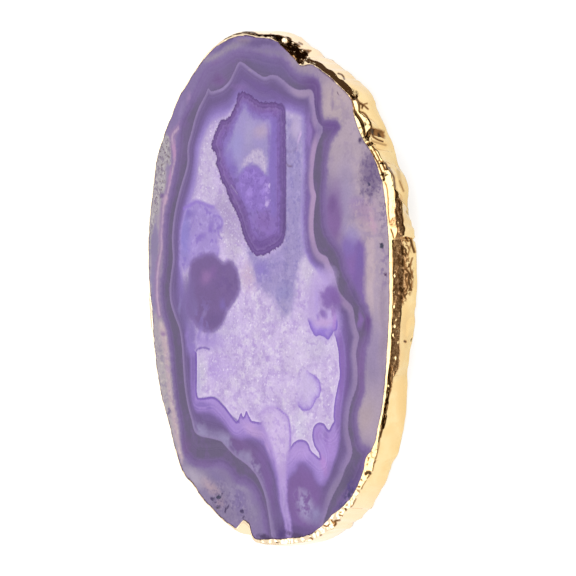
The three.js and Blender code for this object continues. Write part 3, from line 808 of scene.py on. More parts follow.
CORE_LAYERS = [
    band("core", (-0.6, (134, 106, 186), 0.0), (-0.25, (134, 106, 188), 0.75), (-0.02, (130, 102, 182), 0.9),
        (0.14, CRYSTAL, 1.0), fine=0.12, within="crisp"),
    band("rim", (-0.8, (150, 130, 196), 0.0), (-0.1, (164, 144, 206), 0.8), (0.5, (190, 172, 216), 0.95),
        (1.0, CRYSTAL, 1.0), fine=0.1, within="hazy"),
    *mottles("core", 0.3, (3.0, (186, 164, 216), 0.8, 0.46, 0.64), (2.0, (220, 208, 233), 0.85, 0.5, 0.64)),
    *inside("core",
        tint(-9, 2.5, 3, 3.4, (202, 178, 208), cover=0.9),
        tint(-14, 8.5, 2.6, 4, (198, 184, 212)),
        tint(9, 3, 4, 3.4, (204, 192, 218)),
        tint(12, -11.5, 6, 3, (212, 202, 228), cover=0.6),
        tint(-19, -8, 9, 5, (190, 174, 220), cover=0.6),
        tint(-17, -16, 5, 3.4, (190, 168, 222), cover=0.7),
        tint(-24.4, -18, 2, 4.4, (204, 196, 218), cover=0.9),
        tint(-25.2, -19.5, 1, 3, (190, 178, 222)),
        tint(-20, -16, 2.4, 2.6, (180, 156, 218), turn=40, cover=0.7, grain=1.4),
        tint(6, -14, 4, 2.6, (216, 202, 232), cover=0.7),
        tint(9.5, -20, 2.4, 4, (212, 196, 232), cover=0.6),
        tint(7, -27, 2.2, 2.8, (210, 202, 226)),
        tint(-9, -14, 10, 9, (164, 138, 202), cover=0.5, speckle=(1.0, 0.56, 0.64)),
        tint(-4, -10, 8, 9, (228, 220, 236), cover=0.6, speckle=(1.3, 0.56, 0.66)),
        tint(0, -5.5, 3, 2, (188, 176, 210), cover=0.6),
        tint(-15.4, 14.5, 4, 7, (172, 154, 197), turn=40, cover=0.95),
        tint(-22, 24, 3.2, 10, (194, 180, 213), cover=0.6)),
    *mottles("core", 0.3, (0.7, (184, 164, 213), 0.3, 0.5, 0.64), (0.55, (228, 219, 240), 0.3, 0.52, 0.66),
        (1.2, (166, 138, 206), 0.4, 0.56, 0.68), (0.9, (238, 230, 245), 0.6, 0.62, 0.7)),
    band("core", (-0.02, (226, 212, 240), 0.0), (0.08, (226, 212, 240), 0.6), (0.5, (226, 212, 240), 0.0),
        within="crisp"),
    tint(-22.5, -10.6, 6.5, 1.9, (172, 150, 212), cover=0.9, within="core"),
    tint(-27.6, -10.4, 1.6, 3.4, (150, 130, 192), soft=0.8, cover=0.9, within="pale_line"),
    tint(-27, -12, 1.5, 1.4, (150, 128, 194), soft=0.8, cover=1),
    line("crystal_left", (118, 94, 172), 0.04, 0.34, cover=0.8, grain=0.08),
    # The cloud and the dark growth at its left
    band("cloud", (-0.7, (170, 150, 212), 0.0), (0.3, LILAC, 0.9), (1.2, LILAC, 0.95), grain=0.5),
    *mottles("cloud", 0, (1.8, (146, 122, 198), 0.75, 0.5, 0.64), (1.4, (182, 164, 222), 0.7, 0.52, 0.66)),
    *inside("cloud",
        tint(-29.6, 11, 2.2, 6, (146, 134, 204), soft=0.8, cover=0.9),
        tint(-28, 15.5, 2.4, 1.4, (136, 116, 190), cover=0.7),
        tint(-24, 10.5, 1.6, 1.0, (144, 120, 196)),
        tint(-20.8, 12.6, 0.9, 2, (146, 122, 198)),
        tint(-28, 4, 1.0, 2.4, (160, 140, 206))),
    line("cloud_floor", (150, 124, 204), 0.1, 0.5, cover=0.8, grain=0.2),
    line("cloud_curl", (148, 124, 200), 0.08, 0.4, cover=0.7, grain=0.1),
    *inside("pale_line",
        tint(-28.5, -3, 4, 6, (130, 113, 165), soft=0.8, cover=0.95),
        tint(-27, -8.5, 2, 2.4, (138, 118, 180))),
    band("growth", (-0.9, (148, 126, 186), 0.0), (-0.2, (136, 114, 172), 0.85), (0.6, (127, 105, 156), 1.0),
        (2.5, (126, 104, 154), 1.0), grain=0.25),
    tint(-22.3, 2.3, 2.2, 1.6, (148, 116, 168), cover=0.9, grain=0.8),
    tint(-20.3, 3, 1.2, 1.4, (136, 106, 164)),
    tint(-23.5, -5.5, 0.6, 1.2, (146, 128, 180), turn=-40, soft=0.8),
    *inside("growth",
        tint(-20, -6.6, 4, 1.6, (118, 98, 150), cover=0.6),
        tint(-24, -6, 4.5, 4, (138, 120, 182), turn=-40, cover=0.6, speckle=(1.6, 0.5, 0.62)),
        tint(-16, 1, 4, 4, (118, 96, 150), cover=0.6, speckle=(2.2, 0.48, 0.62))),
    tint(-24.5, -9.2, 0.7, 1.6, (150, 130, 196), turn=-20, cover=0.7),
    tint(-22, -9.8, 0.6, 1.4, (154, 134, 200), turn=-20, cover=0.6),
    tint(-19.6, -9.6, 0.5, 1.2, (156, 136, 202), cover=0.5),
    tint(-26.8, -4, 1.6, 3, (136, 118, 172), within="growth"),
    tint(-28, -1.5, 2, 4.5, (130, 111, 164), cover=0.85, within="pale_line"),
    tint(-17.5, -3.6, 1.2, 1.4, (132, 112, 178), within="growth"),
    tint(-31.5, -3.6, 0.6, 2, (144, 130, 182), cover=0.7, within="pale_line"),
    # Haze at the right of the core
    band("haze", (-1.8, (192, 172, 224), 0.0), (0.6, (190, 168, 221), 0.75), (2, (190, 168, 221), 0.85),
        grain=0.4),
    band("haze", (-0.25, (138, 110, 198), 0.0), (-0.02, (132, 104, 194), 0.9), (0.4, (146, 119, 206), 0.85),
        (1.2, (176, 150, 220), 0.6), (2.4, (190, 168, 222), 0.0), grain=0.12, within="low"),
    *inside("haze",
        tint(13.6, -8.4, 2.4, 0.9, (148, 121, 210), cover=0.7),
        tint(12.2, -2.5, 1, 3.4, (180, 158, 220), cover=0.7),
        tint(14.2, -6.6, 3, 1, (196, 166, 218)),
        tint(17.5, -6.4, 0.9, 2.6, (180, 142, 212))),
    *inside("pale_line",
        tint(15.6, -1.7, 2.9, 2.6, (140, 110, 178), soft=0.5, cover=0.95, grain=0.9),
        tint(17.6, -2.6, 1.8, 2.6, (134, 104, 168), soft=0.8, cover=0.9)),
    tint(16.6, -4.9, 0.6, 0.9, (156, 124, 190), within="haze"),
    *inside("core",
        tint(14, -4.8, 1, 1, (148, 120, 188), soft=0.7, cover=0.95),
        tint(12.5, -5.6, 0.8, 0.9, (162, 136, 206))),
    band("loop", (-0.4, (186, 164, 222), 0.0), (0.1, (184, 160, 222), 0.35), (0.8, (198, 180, 228), 0.25),
        grain=0.3),
    band("loop", (-0.2, (150, 122, 204), 0.0), (0.02, (148, 120, 204), 0.9), (0.35, (168, 142, 214), 0.8),
        (1.1, (190, 168, 226), 0.5), (2.4, (200, 182, 228), 0.0), grain=0.22, within="east_of_loop"),
    tint(9.6, -19.3, 1.7, 3, (206, 190, 230), cover=0.6),
    # The head of the stem
    band("stem_head", (-0.7, (172, 146, 210), 0.0), (0.1, (182, 156, 216), 0.8),
        (0.9, (202, 181, 227), 0.95), (1.8, (206, 186, 228), 1.0), grain=0.3),
    *mottles("stem_head", 0.2, (1.3, (182, 156, 218), 0.6, 0.5, 0.64),
        (0.8, (218, 202, 236), 0.5, 0.54, 0.66)),
    *inside("stem_head",
        tint(1.4, -37.5, 2.0, 4, (186, 160, 216), cover=0.9),
        tint(1.6, -42.5, 1.8, 4.6, (168, 145, 205), soft=0.8, cover=0.95),
        tint(3.3, -47.6, 1.6, 2.2, (152, 128, 190), soft=0.8, cover=1),
        tint(1.7, -41, 0.4, 5, (186, 164, 216), cover=0.7, grain=0.8)),
    line("stem_edge", (150, 120, 204), 0.04, 0.32, cover=0.85, grain=0.08),
]
STREAM_LAYERS = [  # the blue-grey stream down the middle
    band("stream", (-1.3, (172, 158, 206), 0.0), (0.9, (160, 147, 197), 0.9), grain=0.9),
    *inside("stream",
        tint(5.4, 20, 1.8, 13, (161, 149, 198), cover=0.9),
        tint(2, -1.5, 3, 2.4, (154, 147, 198)),
        tint(3, -4, 2.6, 2, (176, 164, 204), cover=0.9),
        tint(-5, 3.5, 3, 2.6, (150, 132, 202), cover=0.9),
        tint(0, 4.5, 2, 2.4, (168, 152, 206))),
    *mottles("stream", 0.3, (1.8, (142, 130, 188), 0.55, 0.5, 0.64), (1.3, (180, 168, 212), 0.5, 0.54, 0.66),
        (0.6, (134, 122, 176), 0.3, 0.54, 0.66)),
    *inside("core",
        tint(5.6, 31.5, 1.9, 2.8, (190, 174, 211), soft=0.7, cover=0.95),
        tint(7.1, 30, 0.35, 2.8, (206, 180, 226), turn=-20)),
    line("brown_arc", (112, 88, 108), 0.03, 0.28, cover=0.7),
    line("violet_arc", (126, 108, 150), 0.04, 0.4, cover=0.3),
]
ISLAND_LAYERS = [
    band("island", (-0.25, (112, 90, 142), 0.0), (0.02, (104, 82, 134), 1.0), (0.4, (118, 92, 150), 1.0),
        (1.1, (133, 105, 168), 1.0), (2.2, (136, 108, 176), 1.0), (3.2, (142, 118, 190), 1.0),
        (4.4, (150, 130, 198), 1.0), grain=0.35, fine=0.22, within="ragged"),
    band("island", (-0.3, (128, 108, 166), 0.0), (0.2, (108, 87, 140), 1.0), (0.6, (118, 94, 152), 1.0),
        (1.5, (128, 102, 168), 1.0), (2.2, (138, 113, 186), 1.0), (3.0, (142, 120, 194), 1.0), grain=0.15,
        within="calm"),
    *inside("island",
        tint(-3.5, 8, 8, 3, (116, 92, 152), soft=0.6),
        tint(-4, 13.4, 4.2, 3.6, (140, 112, 180), cover=1),
        tint(-10.8, 13, 1.8, 5, (114, 92, 146), turn=20, cover=0.6)),
    *mottles("island", 0.1, (1.3, (108, 86, 142), 0.4, 0.5, 0.62), (1.1, (154, 128, 190), 0.3, 0.54, 0.66)),
    stripes("island", 0.2, 3.6, (98, 76, 126), (156, 128, 192), size=0.75, cover=0.35, shake=0.16),
    band("island", (0.7, (102, 80, 132), 0.0), (0.95, (102, 80, 132), 0.4), (1.3, (150, 127, 182), 0.2),
        (1.7, (150, 127, 182), 0.0), grain=0.4),
    band("island_top", (-1.8, (140, 118, 192), 0.0), (-0.6, (146, 127, 196), 0.55),
        (0.6, (163, 150, 201), 1.0), grain=0.5),
    *inside("island_top",
        tint(-13.2, 28.6, 2.6, 3.4, (158, 150, 204)),
        tint(-8.6, 31, 2, 3.6, (172, 162, 200), cover=0.7)),
    *inside("island",
        tint(-15, 26.5, 1.6, 2.4, (144, 124, 195)),
        tint(-14, 24.4, 1.6, 1.4, (136, 114, 190))),
    tint(-2.6, 30, 0.8, 3, (138, 112, 186), cover=0.7, within="island_top"),
    band("island_frost", (-0.5, (184, 168, 209), 0.0), (0.5, (194, 180, 213), 1.0), grain=0.6),
    *mottles("island_frost", 0, (0.8, (172, 156, 200), 0.6, 0.5, 0.62),
        (0.6, (212, 200, 224), 0.6, 0.54, 0.66)),
    tint(-4.8, 31.2, 2.4, 1.8, (183, 164, 193), cover=0.9, within="island_top"),
    band("island_cloud", (-0.4, (140, 114, 188), 0.0), (0.5, (146, 121, 196), 1.0), grain=0.9),
    *mottles("island_cloud", 0, (1.5, (162, 136, 214), 0.7, 0.48, 0.6),
        (1.0, (130, 104, 180), 0.6, 0.52, 0.64)),
    *inside("island",
        tint(-8.6, 19, 1.0, 1.0, (168, 142, 218)),
        # painted highlights: these three bright spots are glints on crystals, painted into the colour
        tint(-3.4, 19.4, 1.0, 1.6, (180, 156, 224), cover=0.9, grain=1.6, speckle=(0.9, 0.4, 0.52)),
        tint(-2.8, 20, 0.35, 0.4, (206, 186, 236), soft=0.8, cover=1, grain=1.0),
        tint(-3.4, 17, 0.9, 0.8, (196, 174, 228), cover=0.9, grain=1.8)),
    line("violet_bar", (138, 117, 190), 0.3, 1.1, cover=0.8),
    *inside("island",
        tint(-3.4, 11.8, 2.2, 1.0, (150, 122, 194), turn=-20, cover=0.7),
        tint(1.4, 20, 0.9, 15, (116, 94, 150), cover=0.7),
        tint(2.2, 14, 0.4, 5, (104, 84, 136), cover=0.7)),
    # a scratch with its painted highlight: a pale line where it catches the light
    line("scratch", (186, 170, 206), 0.05, 0.22, cover=0.9),
    line("faint_scratch", (150, 128, 178), 0.04, 0.4, cover=0.6),
]
STAINS_AND_EDGE_SHADE = [  # pits and stains near the edge, and painted shade along the edge of the face where the lip meets it
    tint(-18.9, -42.2, 1.3, 0.35, (78, 66, 100), turn=20, soft=0.6, cover=1, grain=1.2),
    tint(-20.3, -42.6, 0.7, 0.4, (92, 80, 112), turn=-20, soft=0.7, cover=1, grain=1.2),
    tint(-17.3, -41.4, 0.7, 0.25, (88, 76, 108), turn=40, soft=0.7, cover=1, grain=1.0),
    tint(-18.6, -44, 0.55, 0.35, (62, 50, 86), soft=0.6, cover=1, grain=1.0),
    tint(-19.6, -43.3, 0.5, 0.3, (100, 88, 120), soft=0.7, cover=1, grain=1.0),
    tint(-16.5, -45.1, 0.8, 0.3, (92, 80, 112), turn=40, soft=0.7, cover=1, grain=1.2),
    tint(-15.6, -44.4, 0.5, 0.25, (104, 92, 124), turn=40, soft=0.7, cover=1, grain=1.0),
    tint(-10.9, -45, 0.75, 0.3, (88, 74, 110), soft=0.7, cover=1, grain=1.0),
    tint(-10.4, -45.9, 0.5, 0.2, (108, 94, 128), soft=0.8, cover=1, grain=0.8),
    tint(-18, -43, 3.4, 2.2, (112, 98, 132), soft=0.8, speckle=(0.9, 0.54, 0.62)),
    tint(1.6, -48.9, 1.7, 1.3, (96, 70, 128), cover=1, grain=0.8),
    tint(6.5, -48.9, 4, 0.7, (98, 80, 118), soft=0.8, cover=1, grain=0.8),
    tint(-4, -50, 3.0, 0.7, (92, 74, 112), soft=0.8, cover=1, grain=0.8),
    tint(21, -40.2, 4.6, 1.0, (86, 66, 116), turn=40, cover=1, grain=0.9, speckle=(0.9, 0.36, 0.52)),
    tint(22, -38.4, 2.6, 1.4, (96, 80, 140), turn=40, cover=0.7, speckle=(1.0, 0.48, 0.6)),
    # painted shade: a dark line along the edge of the face beside the lip, darker still on the east side
    band("edge", (0.0, (92, 74, 96), 0.6), (0.4, (100, 84, 114), 0.0), grain=0.35),
    band("edge", (0.0, (98, 72, 96), 0.7), (0.55, (120, 98, 130), 0.0), grain=0.1, within="east"),
]
LAYERS = [*OUTER_ZONE, *DARK_BAND, *VIOLET_BANDS, *HALO_LAYERS, *CORE_LAYERS, *STREAM_LAYERS, *ISLAND_LAYERS,
    *STAINS_AND_EDGE_SHADE]
BASE = (139, 122, 166)
TURNS = (-40, -20, 20, 40)  # the turns that tints may have, in degrees
WANDER, WANDER_SIZES = 1.1, (3.5, 3.9)  # how far the tints wander, and over what lengths along x and y, in mm
# Noise in the stone: size in mm, detail, roughness
ROUGH_FRAY, FINE_FRAY = (1.1, 3.0, 0.6), (0.5, 2.0, 0.5)
CLOUDINESS, SPECKLE = (5.0, 3.0, 0.6), (0.45, 2.0, 0.6)
FRAY_SWING = 4.0  # stretches the noise that frays the layers to about -1 to 1
LAYERS_IN_GROUP = 22


def masked(shader, share, layer):
    """The share where the layer's own outline and its speckles let it through."""
    if layer["within"]:
        region = shader.field(layer["within"])
        share = shader.math("MULTIPLY", share, shader.span(region, -0.3, 0.5, tree=shader.trunk))
    if layer["speckle"]:
        size, low, high = layer["speckle"]
        spots = shader.noise(shader.place, size * MM, 2.0, 0.6)
        share = shader.math("MULTIPLY", share, shader.span(spots, low, high, tree=shader.trunk))
    return share


def paint_band(shader, layer, base, noises):
    rows = layer["rows"]
    low, high, full = rows[0][0], rows[-1][0], layer["cover"]
    away = shader.field(layer["field"])
    for amount, source in ((layer["grain"], "rough"), (layer["fine"], "fine")):
        if amount:
            away = shader.math("MULTIPLY_ADD", noises[source], amount, away)
    share = shader.span(away, low, high, kind="LINEAR")
    stops = [((mm - low) / (high - low), stone_tone(colour, cover * full)) for mm, colour, cover in rows]
    colour, alpha = shader.ramp(share, stops)
    return shader.mix(masked(shader, alpha, layer), base, colour)


def turned_ways(degrees):
    """The two directions of a tint's radii."""
    turn = math.radians(degrees)
    return (math.cos(turn), math.sin(turn), 0), (-math.sin(turn), math.cos(turn), 0)


def paint_tint(shader, layer, base, noises):
    (x, y), (wide, high) = layer["middle"], layer["radii"]
    x, y = (x * way[0] + y * way[1] for way in turned_ways(layer["turn"]))
    scale, shift = (1 / wide, 1 / high, 0), (-x / wide, -y / high, 0)
    reach = shader.vector("LENGTH", shader.vector("MULTIPLY_ADD", noises[layer["turn"]], scale, shift))
    if layer["grain"]:
        reach = shader.math("MULTIPLY_ADD", noises["rough"], 0.4 * layer["grain"] / min(wide, high), reach)
    share = shader.span(reach, 1 + layer["soft"] * 0.5, 1 - layer["soft"], 0.0, layer["cover"])
    return shader.mix(masked(shader, share, layer), base, stone_tone(layer["colour"]))


def paint_ramp(shader, layer, base):
    stops = [(place, stone_tone(colour)) for place, colour in layer["stops"]]
    colour, _ = shader.ramp(shader.field(layer["ramp"]), stops)
    return shader.mix(shader.span(shader.field("pale_line"), -0.1, 0.1), base, colour)


def paint_stripes(shader, layer, base, noises):
    away = shader.field(layer["stripes"])
    shaken = shader.math("MULTIPLY_ADD", noises["rough"], layer["shake"], away)
    inputs = {"W": shaken, "Scale": 1 / layer["size"], "Detail": 2.0, "Roughness": 0.6}
    lines = shader.add("ShaderNodeTexNoise", inputs, noise_dimensions="1D").outputs["Fac"]
    dark, light, cover = layer["dark"], layer["light"], layer["cover"]
    colour, share = shader.ramp(lines, [(0.3, stone_tone(dark, cover)), (0.48, stone_tone(dark, 0.0)),
        (0.52, stone_tone(light, 0.0)), (0.7, stone_tone(light, cover))])
    for start, full in ((layer["low"], layer["low"] + 0.4), (layer["high"], layer["high"] - 1.0)):
        share = shader.math("MULTIPLY", share, shader.span(away, start, full))
    return shader.mix(masked(shader, share, layer), base, colour)


def paint_layers(shader, layers, colour, noises):
    for layer in layers:
        if "rows" in layer:
            colour = paint_band(shader, layer, colour, noises)
        elif "middle" in layer:
            colour = paint_tint(shader, layer, colour, noises)
        elif "stripes" in layer:
            colour = paint_stripes(shader, layer, colour, noises)
        else:
            colour = paint_ramp(shader, layer, colour)
    return colour


def agate_material():
    shader = Shader(bpy.data.materials.new("polished_agate"))
    # all noise reads these coordinates as they are: a conversion in between would cost the shader its order
    shader.place = shader.add("ShaderNodeTexCoord").outputs["Object"]

    def noise(size, detail, roughness=0.5):
        return shader.noise(shader.place, size * MM, detail, roughness)

    wander = [shader.math("MULTIPLY_ADD", noise(size, 1.0), 2 * WANDER, -WANDER) for size in WANDER_SIZES]
    wander = shader.add("ShaderNodeCombineXYZ", dict(enumerate(wander))).outputs[0]
    flat = shader.vector("MULTIPLY", shader.field("pattern", "Vector"), (1, 1, 0))
    warped = shader.vector("ADD", flat, wander)
    noises = {0: warped}
    for name, kind in (("rough", ROUGH_FRAY), ("fine", FINE_FRAY)):
        noises[name] = shader.math("SUBTRACT", noise(*kind), 0.5)
    for name in ("rough", "fine"):
        noises[name] = shader.math("MULTIPLY", noises[name], FRAY_SWING)
    for turn in TURNS:
        along, across = (shader.vector("DOT_PRODUCT", warped, way) for way in turned_ways(turn))
        noises[turn] = shader.once("ShaderNodeCombineXYZ", {0: along, 1: across}).outputs[0]
    colour = shader.once("ShaderNodeRGB").outputs[0]
    colour.default_value = stone_tone(BASE)
    for start in range(0, len(LAYERS), LAYERS_IN_GROUP):
        layers = LAYERS[start:start + LAYERS_IN_GROUP]
        colour = shader.in_group(f"layers_{start}",
            lambda under: paint_layers(shader, layers, under, noises), colour)
    cloudy, speckle = noise(*CLOUDINESS), noise(*SPECKLE)
    cloudy, fleck = shader.span(cloudy, 0.3, 0.7, -0.05, 0.05), shader.span(speckle, 0.3, 0.7, 0.96, 1.04)
    tone = shader.math("ADD", cloudy, fleck)
    return shader.finish({
        "Base Color": shader.mix(1.0, colour, tone, "MULTIPLY"),
        "Roughness": shader.span(speckle, 0.3, 0.7, 0.1, 0.2),
        "IOR": STONE_IOR,
    })


# The gilded band. Tables around the slice, each row (degrees from +X, value).
LIP_RISE = [(0, 0.15), (85, 0.14), (110, 0.07), (250, 0.07), (275, 0.14), (300, 0.15)]  # above the face, mm
LIP_FLAT = [  # how far the top of the lip reaches out over the edge of the stone, in mm
    (3, 0.75), (8, 0.72), (13.2, 0.6), (14, 1.65), (16, 1.95), (18, 1.7), (21, 1.7), (23, 2.0), (25.6, 2.15),
    (28, 2.3), (30, 2.1), (31.3, 1.95), (33.5, 1.55), (35.3, 1.25), (37.9, 1.1), (39.5, 0.7), (41.3, 0.6),
    (42.8, 0.9), (43.6, 2.0), (45.8, 2.65), (47.5, 2.5), (48.9, 1.85), (50.3, 1.4), (51.5, 1.5), (52.7, 1.2),
    (54.3, 0.2), (57, 0.04), (72, 0.05), (73, 0.3), (74.3, 0.75), (76, 0.15), (77, 0.03), (86, 0.03),
    (88, 0.2), (97, 0.22), (108, 0.12), (125, 0.08), (165, 0.06), (181, 0.15), (184, 0.7), (190, 0.75),
    (195, 0.2), (205, 0.08), (250, 0.08), (256, 0.15), (266, 0.6), (271, 0.95), (280, 0.9), (288, 1.0),
    (291, 1.25), (293.4, 1.8), (295.4, 1.25), (297, 1.4), (298.6, 0.8), (300, 0.9), (301.5, 1.2),
    (303.6, 0.8), (306, 0.8), (309, 1.2), (310.5, 1.4), (312.5, 2.0), (314.4, 1.8), (316, 1.15), (318, 0.68),
    (320, 0.5), (324, 0.36), (328, 0.35), (330.4, 0.55), (334, 0.5), (339.5, 0.65), (342, 0.75), (350, 0.75),
]
LIP_TILT = [  # how far it tips outward, in degrees
    (0, 8), (12, 9), (15, 15), (36, 15), (40, 8), (43, 18), (50, 16), (54, 6), (60, 4), (260, 4), (280, 8),
    (290, 11), (325, 10), (340, 8),
]
LIP_BEVEL = [  # how far the bevel outside that takes it on, in mm
    (0, 1.3), (10.3, 1.35), (12, 1.3), (14, 1.05), (18, 1.0), (22, 1.0), (24.5, 0.5), (27, 0.1), (53.5, 0.15),
    (54.7, 0.5), (57.3, 0.85), (60.5, 0.93), (61.6, 0.64), (63.5, 0.86), (65, 0.92), (67.1, 0.73),
    (69.3, 0.85), (72.8, 0.7), (74, 0.75), (75.9, 1.36), (76.6, 2.1), (78.1, 2.1), (79.4, 1.7), (80.2, 1.9),
    (82.6, 1.74), (83.9, 1.8), (85.2, 1.22), (86.2, 1.05), (87.8, 0.7), (89.6, 0.43), (92, 0.36),
    (96.7, 0.48), (102, 0.3), (108, 0.12), (255, 0.08), (318, 0.08), (320, 0.2), (323, 0.45), (331, 0.45),
    (334.8, 0.7), (336.5, 1.0), (338, 1.22), (345, 1.1), (356, 1.2),
]
BEVEL_TURN = [  # its normal, degrees up
    (0, 40), (45, 40), (55, 47), (88, 47), (93, 54), (108, 56), (125, 45), (330, 40),
]
WALL_SPREAD = [  # most that the wall spreads out for each mm that it drops below the bevel
    (0, 3), (22, 3), (26, 0.25), (50, 0.25), (56, 0.5), (85, 0.5), (105, 0.55), (255, 0.55), (270, 0.3),
    (283, 0.12), (318, 0.12), (328, 0.3), (335, 3),
]
WALL_UNDERCUT = [  # how far it may fall back in for each of those
    (12, 0), (15, 0.34), (18, 0.45), (21.5, 0.8), (25, 0.8), (28, 0.4), (34, 0.34), (39, 0.1), (43, 0.36),
    (49, 0.36), (53, 0), (332, 0), (337, 0.3), (350, 0.3), (355, 0),
]
WALL_SHIFT = [  # how far the wall lies outside the solid's, in mm
    (0, -0.3), (8, -0.25), (13, -0.6), (17, -0.95), (23, -1.0), (26, -0.6), (28, -0.35), (31, -0.45),
    (36, -0.85), (38, -1.0), (42, -1.0), (47, -0.3), (54, 0.1), (64, 0), (69, -0.7), (74, -0.9), (78, -0.2),
    (82, 0), (326, 0), (333, -0.4), (340, -0.9), (347, -0.95), (353, -0.5),
]
LIP_WANDER = [(0, 0.05), (14, 0.06), (20, 0.14), (55, 0.14), (285, 0.16), (315, 0.16), (325, 0.06)]
LIP_FACETS = [  # how crumpled the upper lip is
    (0, 0.05), (13, 0.05), (16, 0.1), (38, 0.1), (43, 0.07), (52, 0.06), (55, 0.05), (70, 0.05), (74, 0.2),
    (77, 0.28), (84, 0.28), (88, 0.06), (105, 0.05), (150, 0.06), (200, 0.06), (255, 0.02), (266, 0.03),
    (270, 0.3), (284, 0.22), (290, 0.12), (320, 0.12), (330, 0.06),
]
SHOULDER_GRAIN = [  # how grainy the shoulder is
    (0, 1.0), (14, 1.0), (24, 0.5), (28, 0.1), (40, 0.15), (60, 0.05), (74, 0.1), (82, 0.3), (92, 0.1),
    (130, 0.3), (160, 0.4), (200, 0.25), (250, 0.1), (300, 0.05), (320, 0.1), (332, 0.5), (340, 0.95),
]
# Marks on the band, in mm from the picture's middle on the plane that faces the camera
# the brown zone: worn plating over a rough crust, darkened with painted shade
BROWN_ZONE = [
    (21.3, 17.6), (21.1, 16.2), (20.9, 15), (21.1, 14.2), (20.3, 13.6), (20.1, 12.2), (21.3, 11.8),
    (21.6, 11), (21.1, 9.7), (20.7, 8.9), (20.6, 7.1), (20.6, 5.1), (20.7, 3.2), (20.7, 0.8), (20.6, -1.2),
    (20.7, -3.2), (20.7, -4.7), (20.6, -6.7), (20.5, -8.7), (20.4, -10.7), (20.3, -12.6), (20.1, -14.6),
    (20, -16), (19.9, -17.6), (19.8, -18.9), (20.3, -19.7), (20.6, -18.9), (20.8, -17.9), (21.3, -16.8),
    (21.8, -15.8), (22, -14.2), (22.1, -12.2), (22, -10.3), (22.2, -8.3), (22.1, -6.3), (22.2, -4.3),
    (22.6, -3), (23.1, -2), (23.5, -0.8), (23.9, 0.8), (24.1, 2.4), (23.9, 3.6), (23.3, 4.9), (23.5, 6.3),
    (22.9, 7.5), (22.6, 8.7), (22.6, 10.3), (22.6, 11.8), (22.6, 13.4), (22.5, 15.4), (22.5, 16.8),
    (22.1, 17.8),
]
SPECKLED_ZONE = [
    (22.5, 9.5), (23.5, 8.9), (24, 7.3), (23.7, 5.9), (24.3, 4.7), (24.6, 2.8), (24.5, 0.8), (24.3, -0.6),
    (23.5, -2), (22.5, -3.2), (21.7, -0.4), (21.7, 5.5),
]
# a pit, pushed in and darkened with painted shade
PIT = [
    (15.3, 29.9), (15.4, 30.7), (15.9, 31.4), (16.6, 31.7), (17.4, 31.5), (18.2, 31.5), (18.9, 31.1),
    (19.3, 30.3), (19.1, 29.5), (18.1, 29.8), (17.2, 30), (16.2, 29.9), (15.6, 29.4),
]
# crumpled foil, darkened with painted shade
CRUMPLED_ZONE = [
    (-3.2, 49.9), (-2.4, 49.9), (-1.4, 49.6), (-0.4, 49.2), (0.4, 49.2), (0.8, 48.7), (1.6, 48.4), (2.6, 48),
    (2, 47.6), (2.4, 47.2), (3.6, 47.1), (4.5, 46.7), (3.9, 46), (3.2, 45), (2.7, 44.5), (2, 44.6),
    (1.2, 45.5), (0.2, 46.6), (-0.8, 47.6), (-1.8, 48.2), (-2.6, 49),
]
BROWN_EDGE = [  # painted shade: a dark line along the inner side of the brown zone
    (20.7, 8.9), (20.7, 5.1), (20.8, 0.8), (20.7, -3.2), (20.6, -6.7), (20.5, -10.7), (20.3, -13.4),
    (20.1, -16),
]
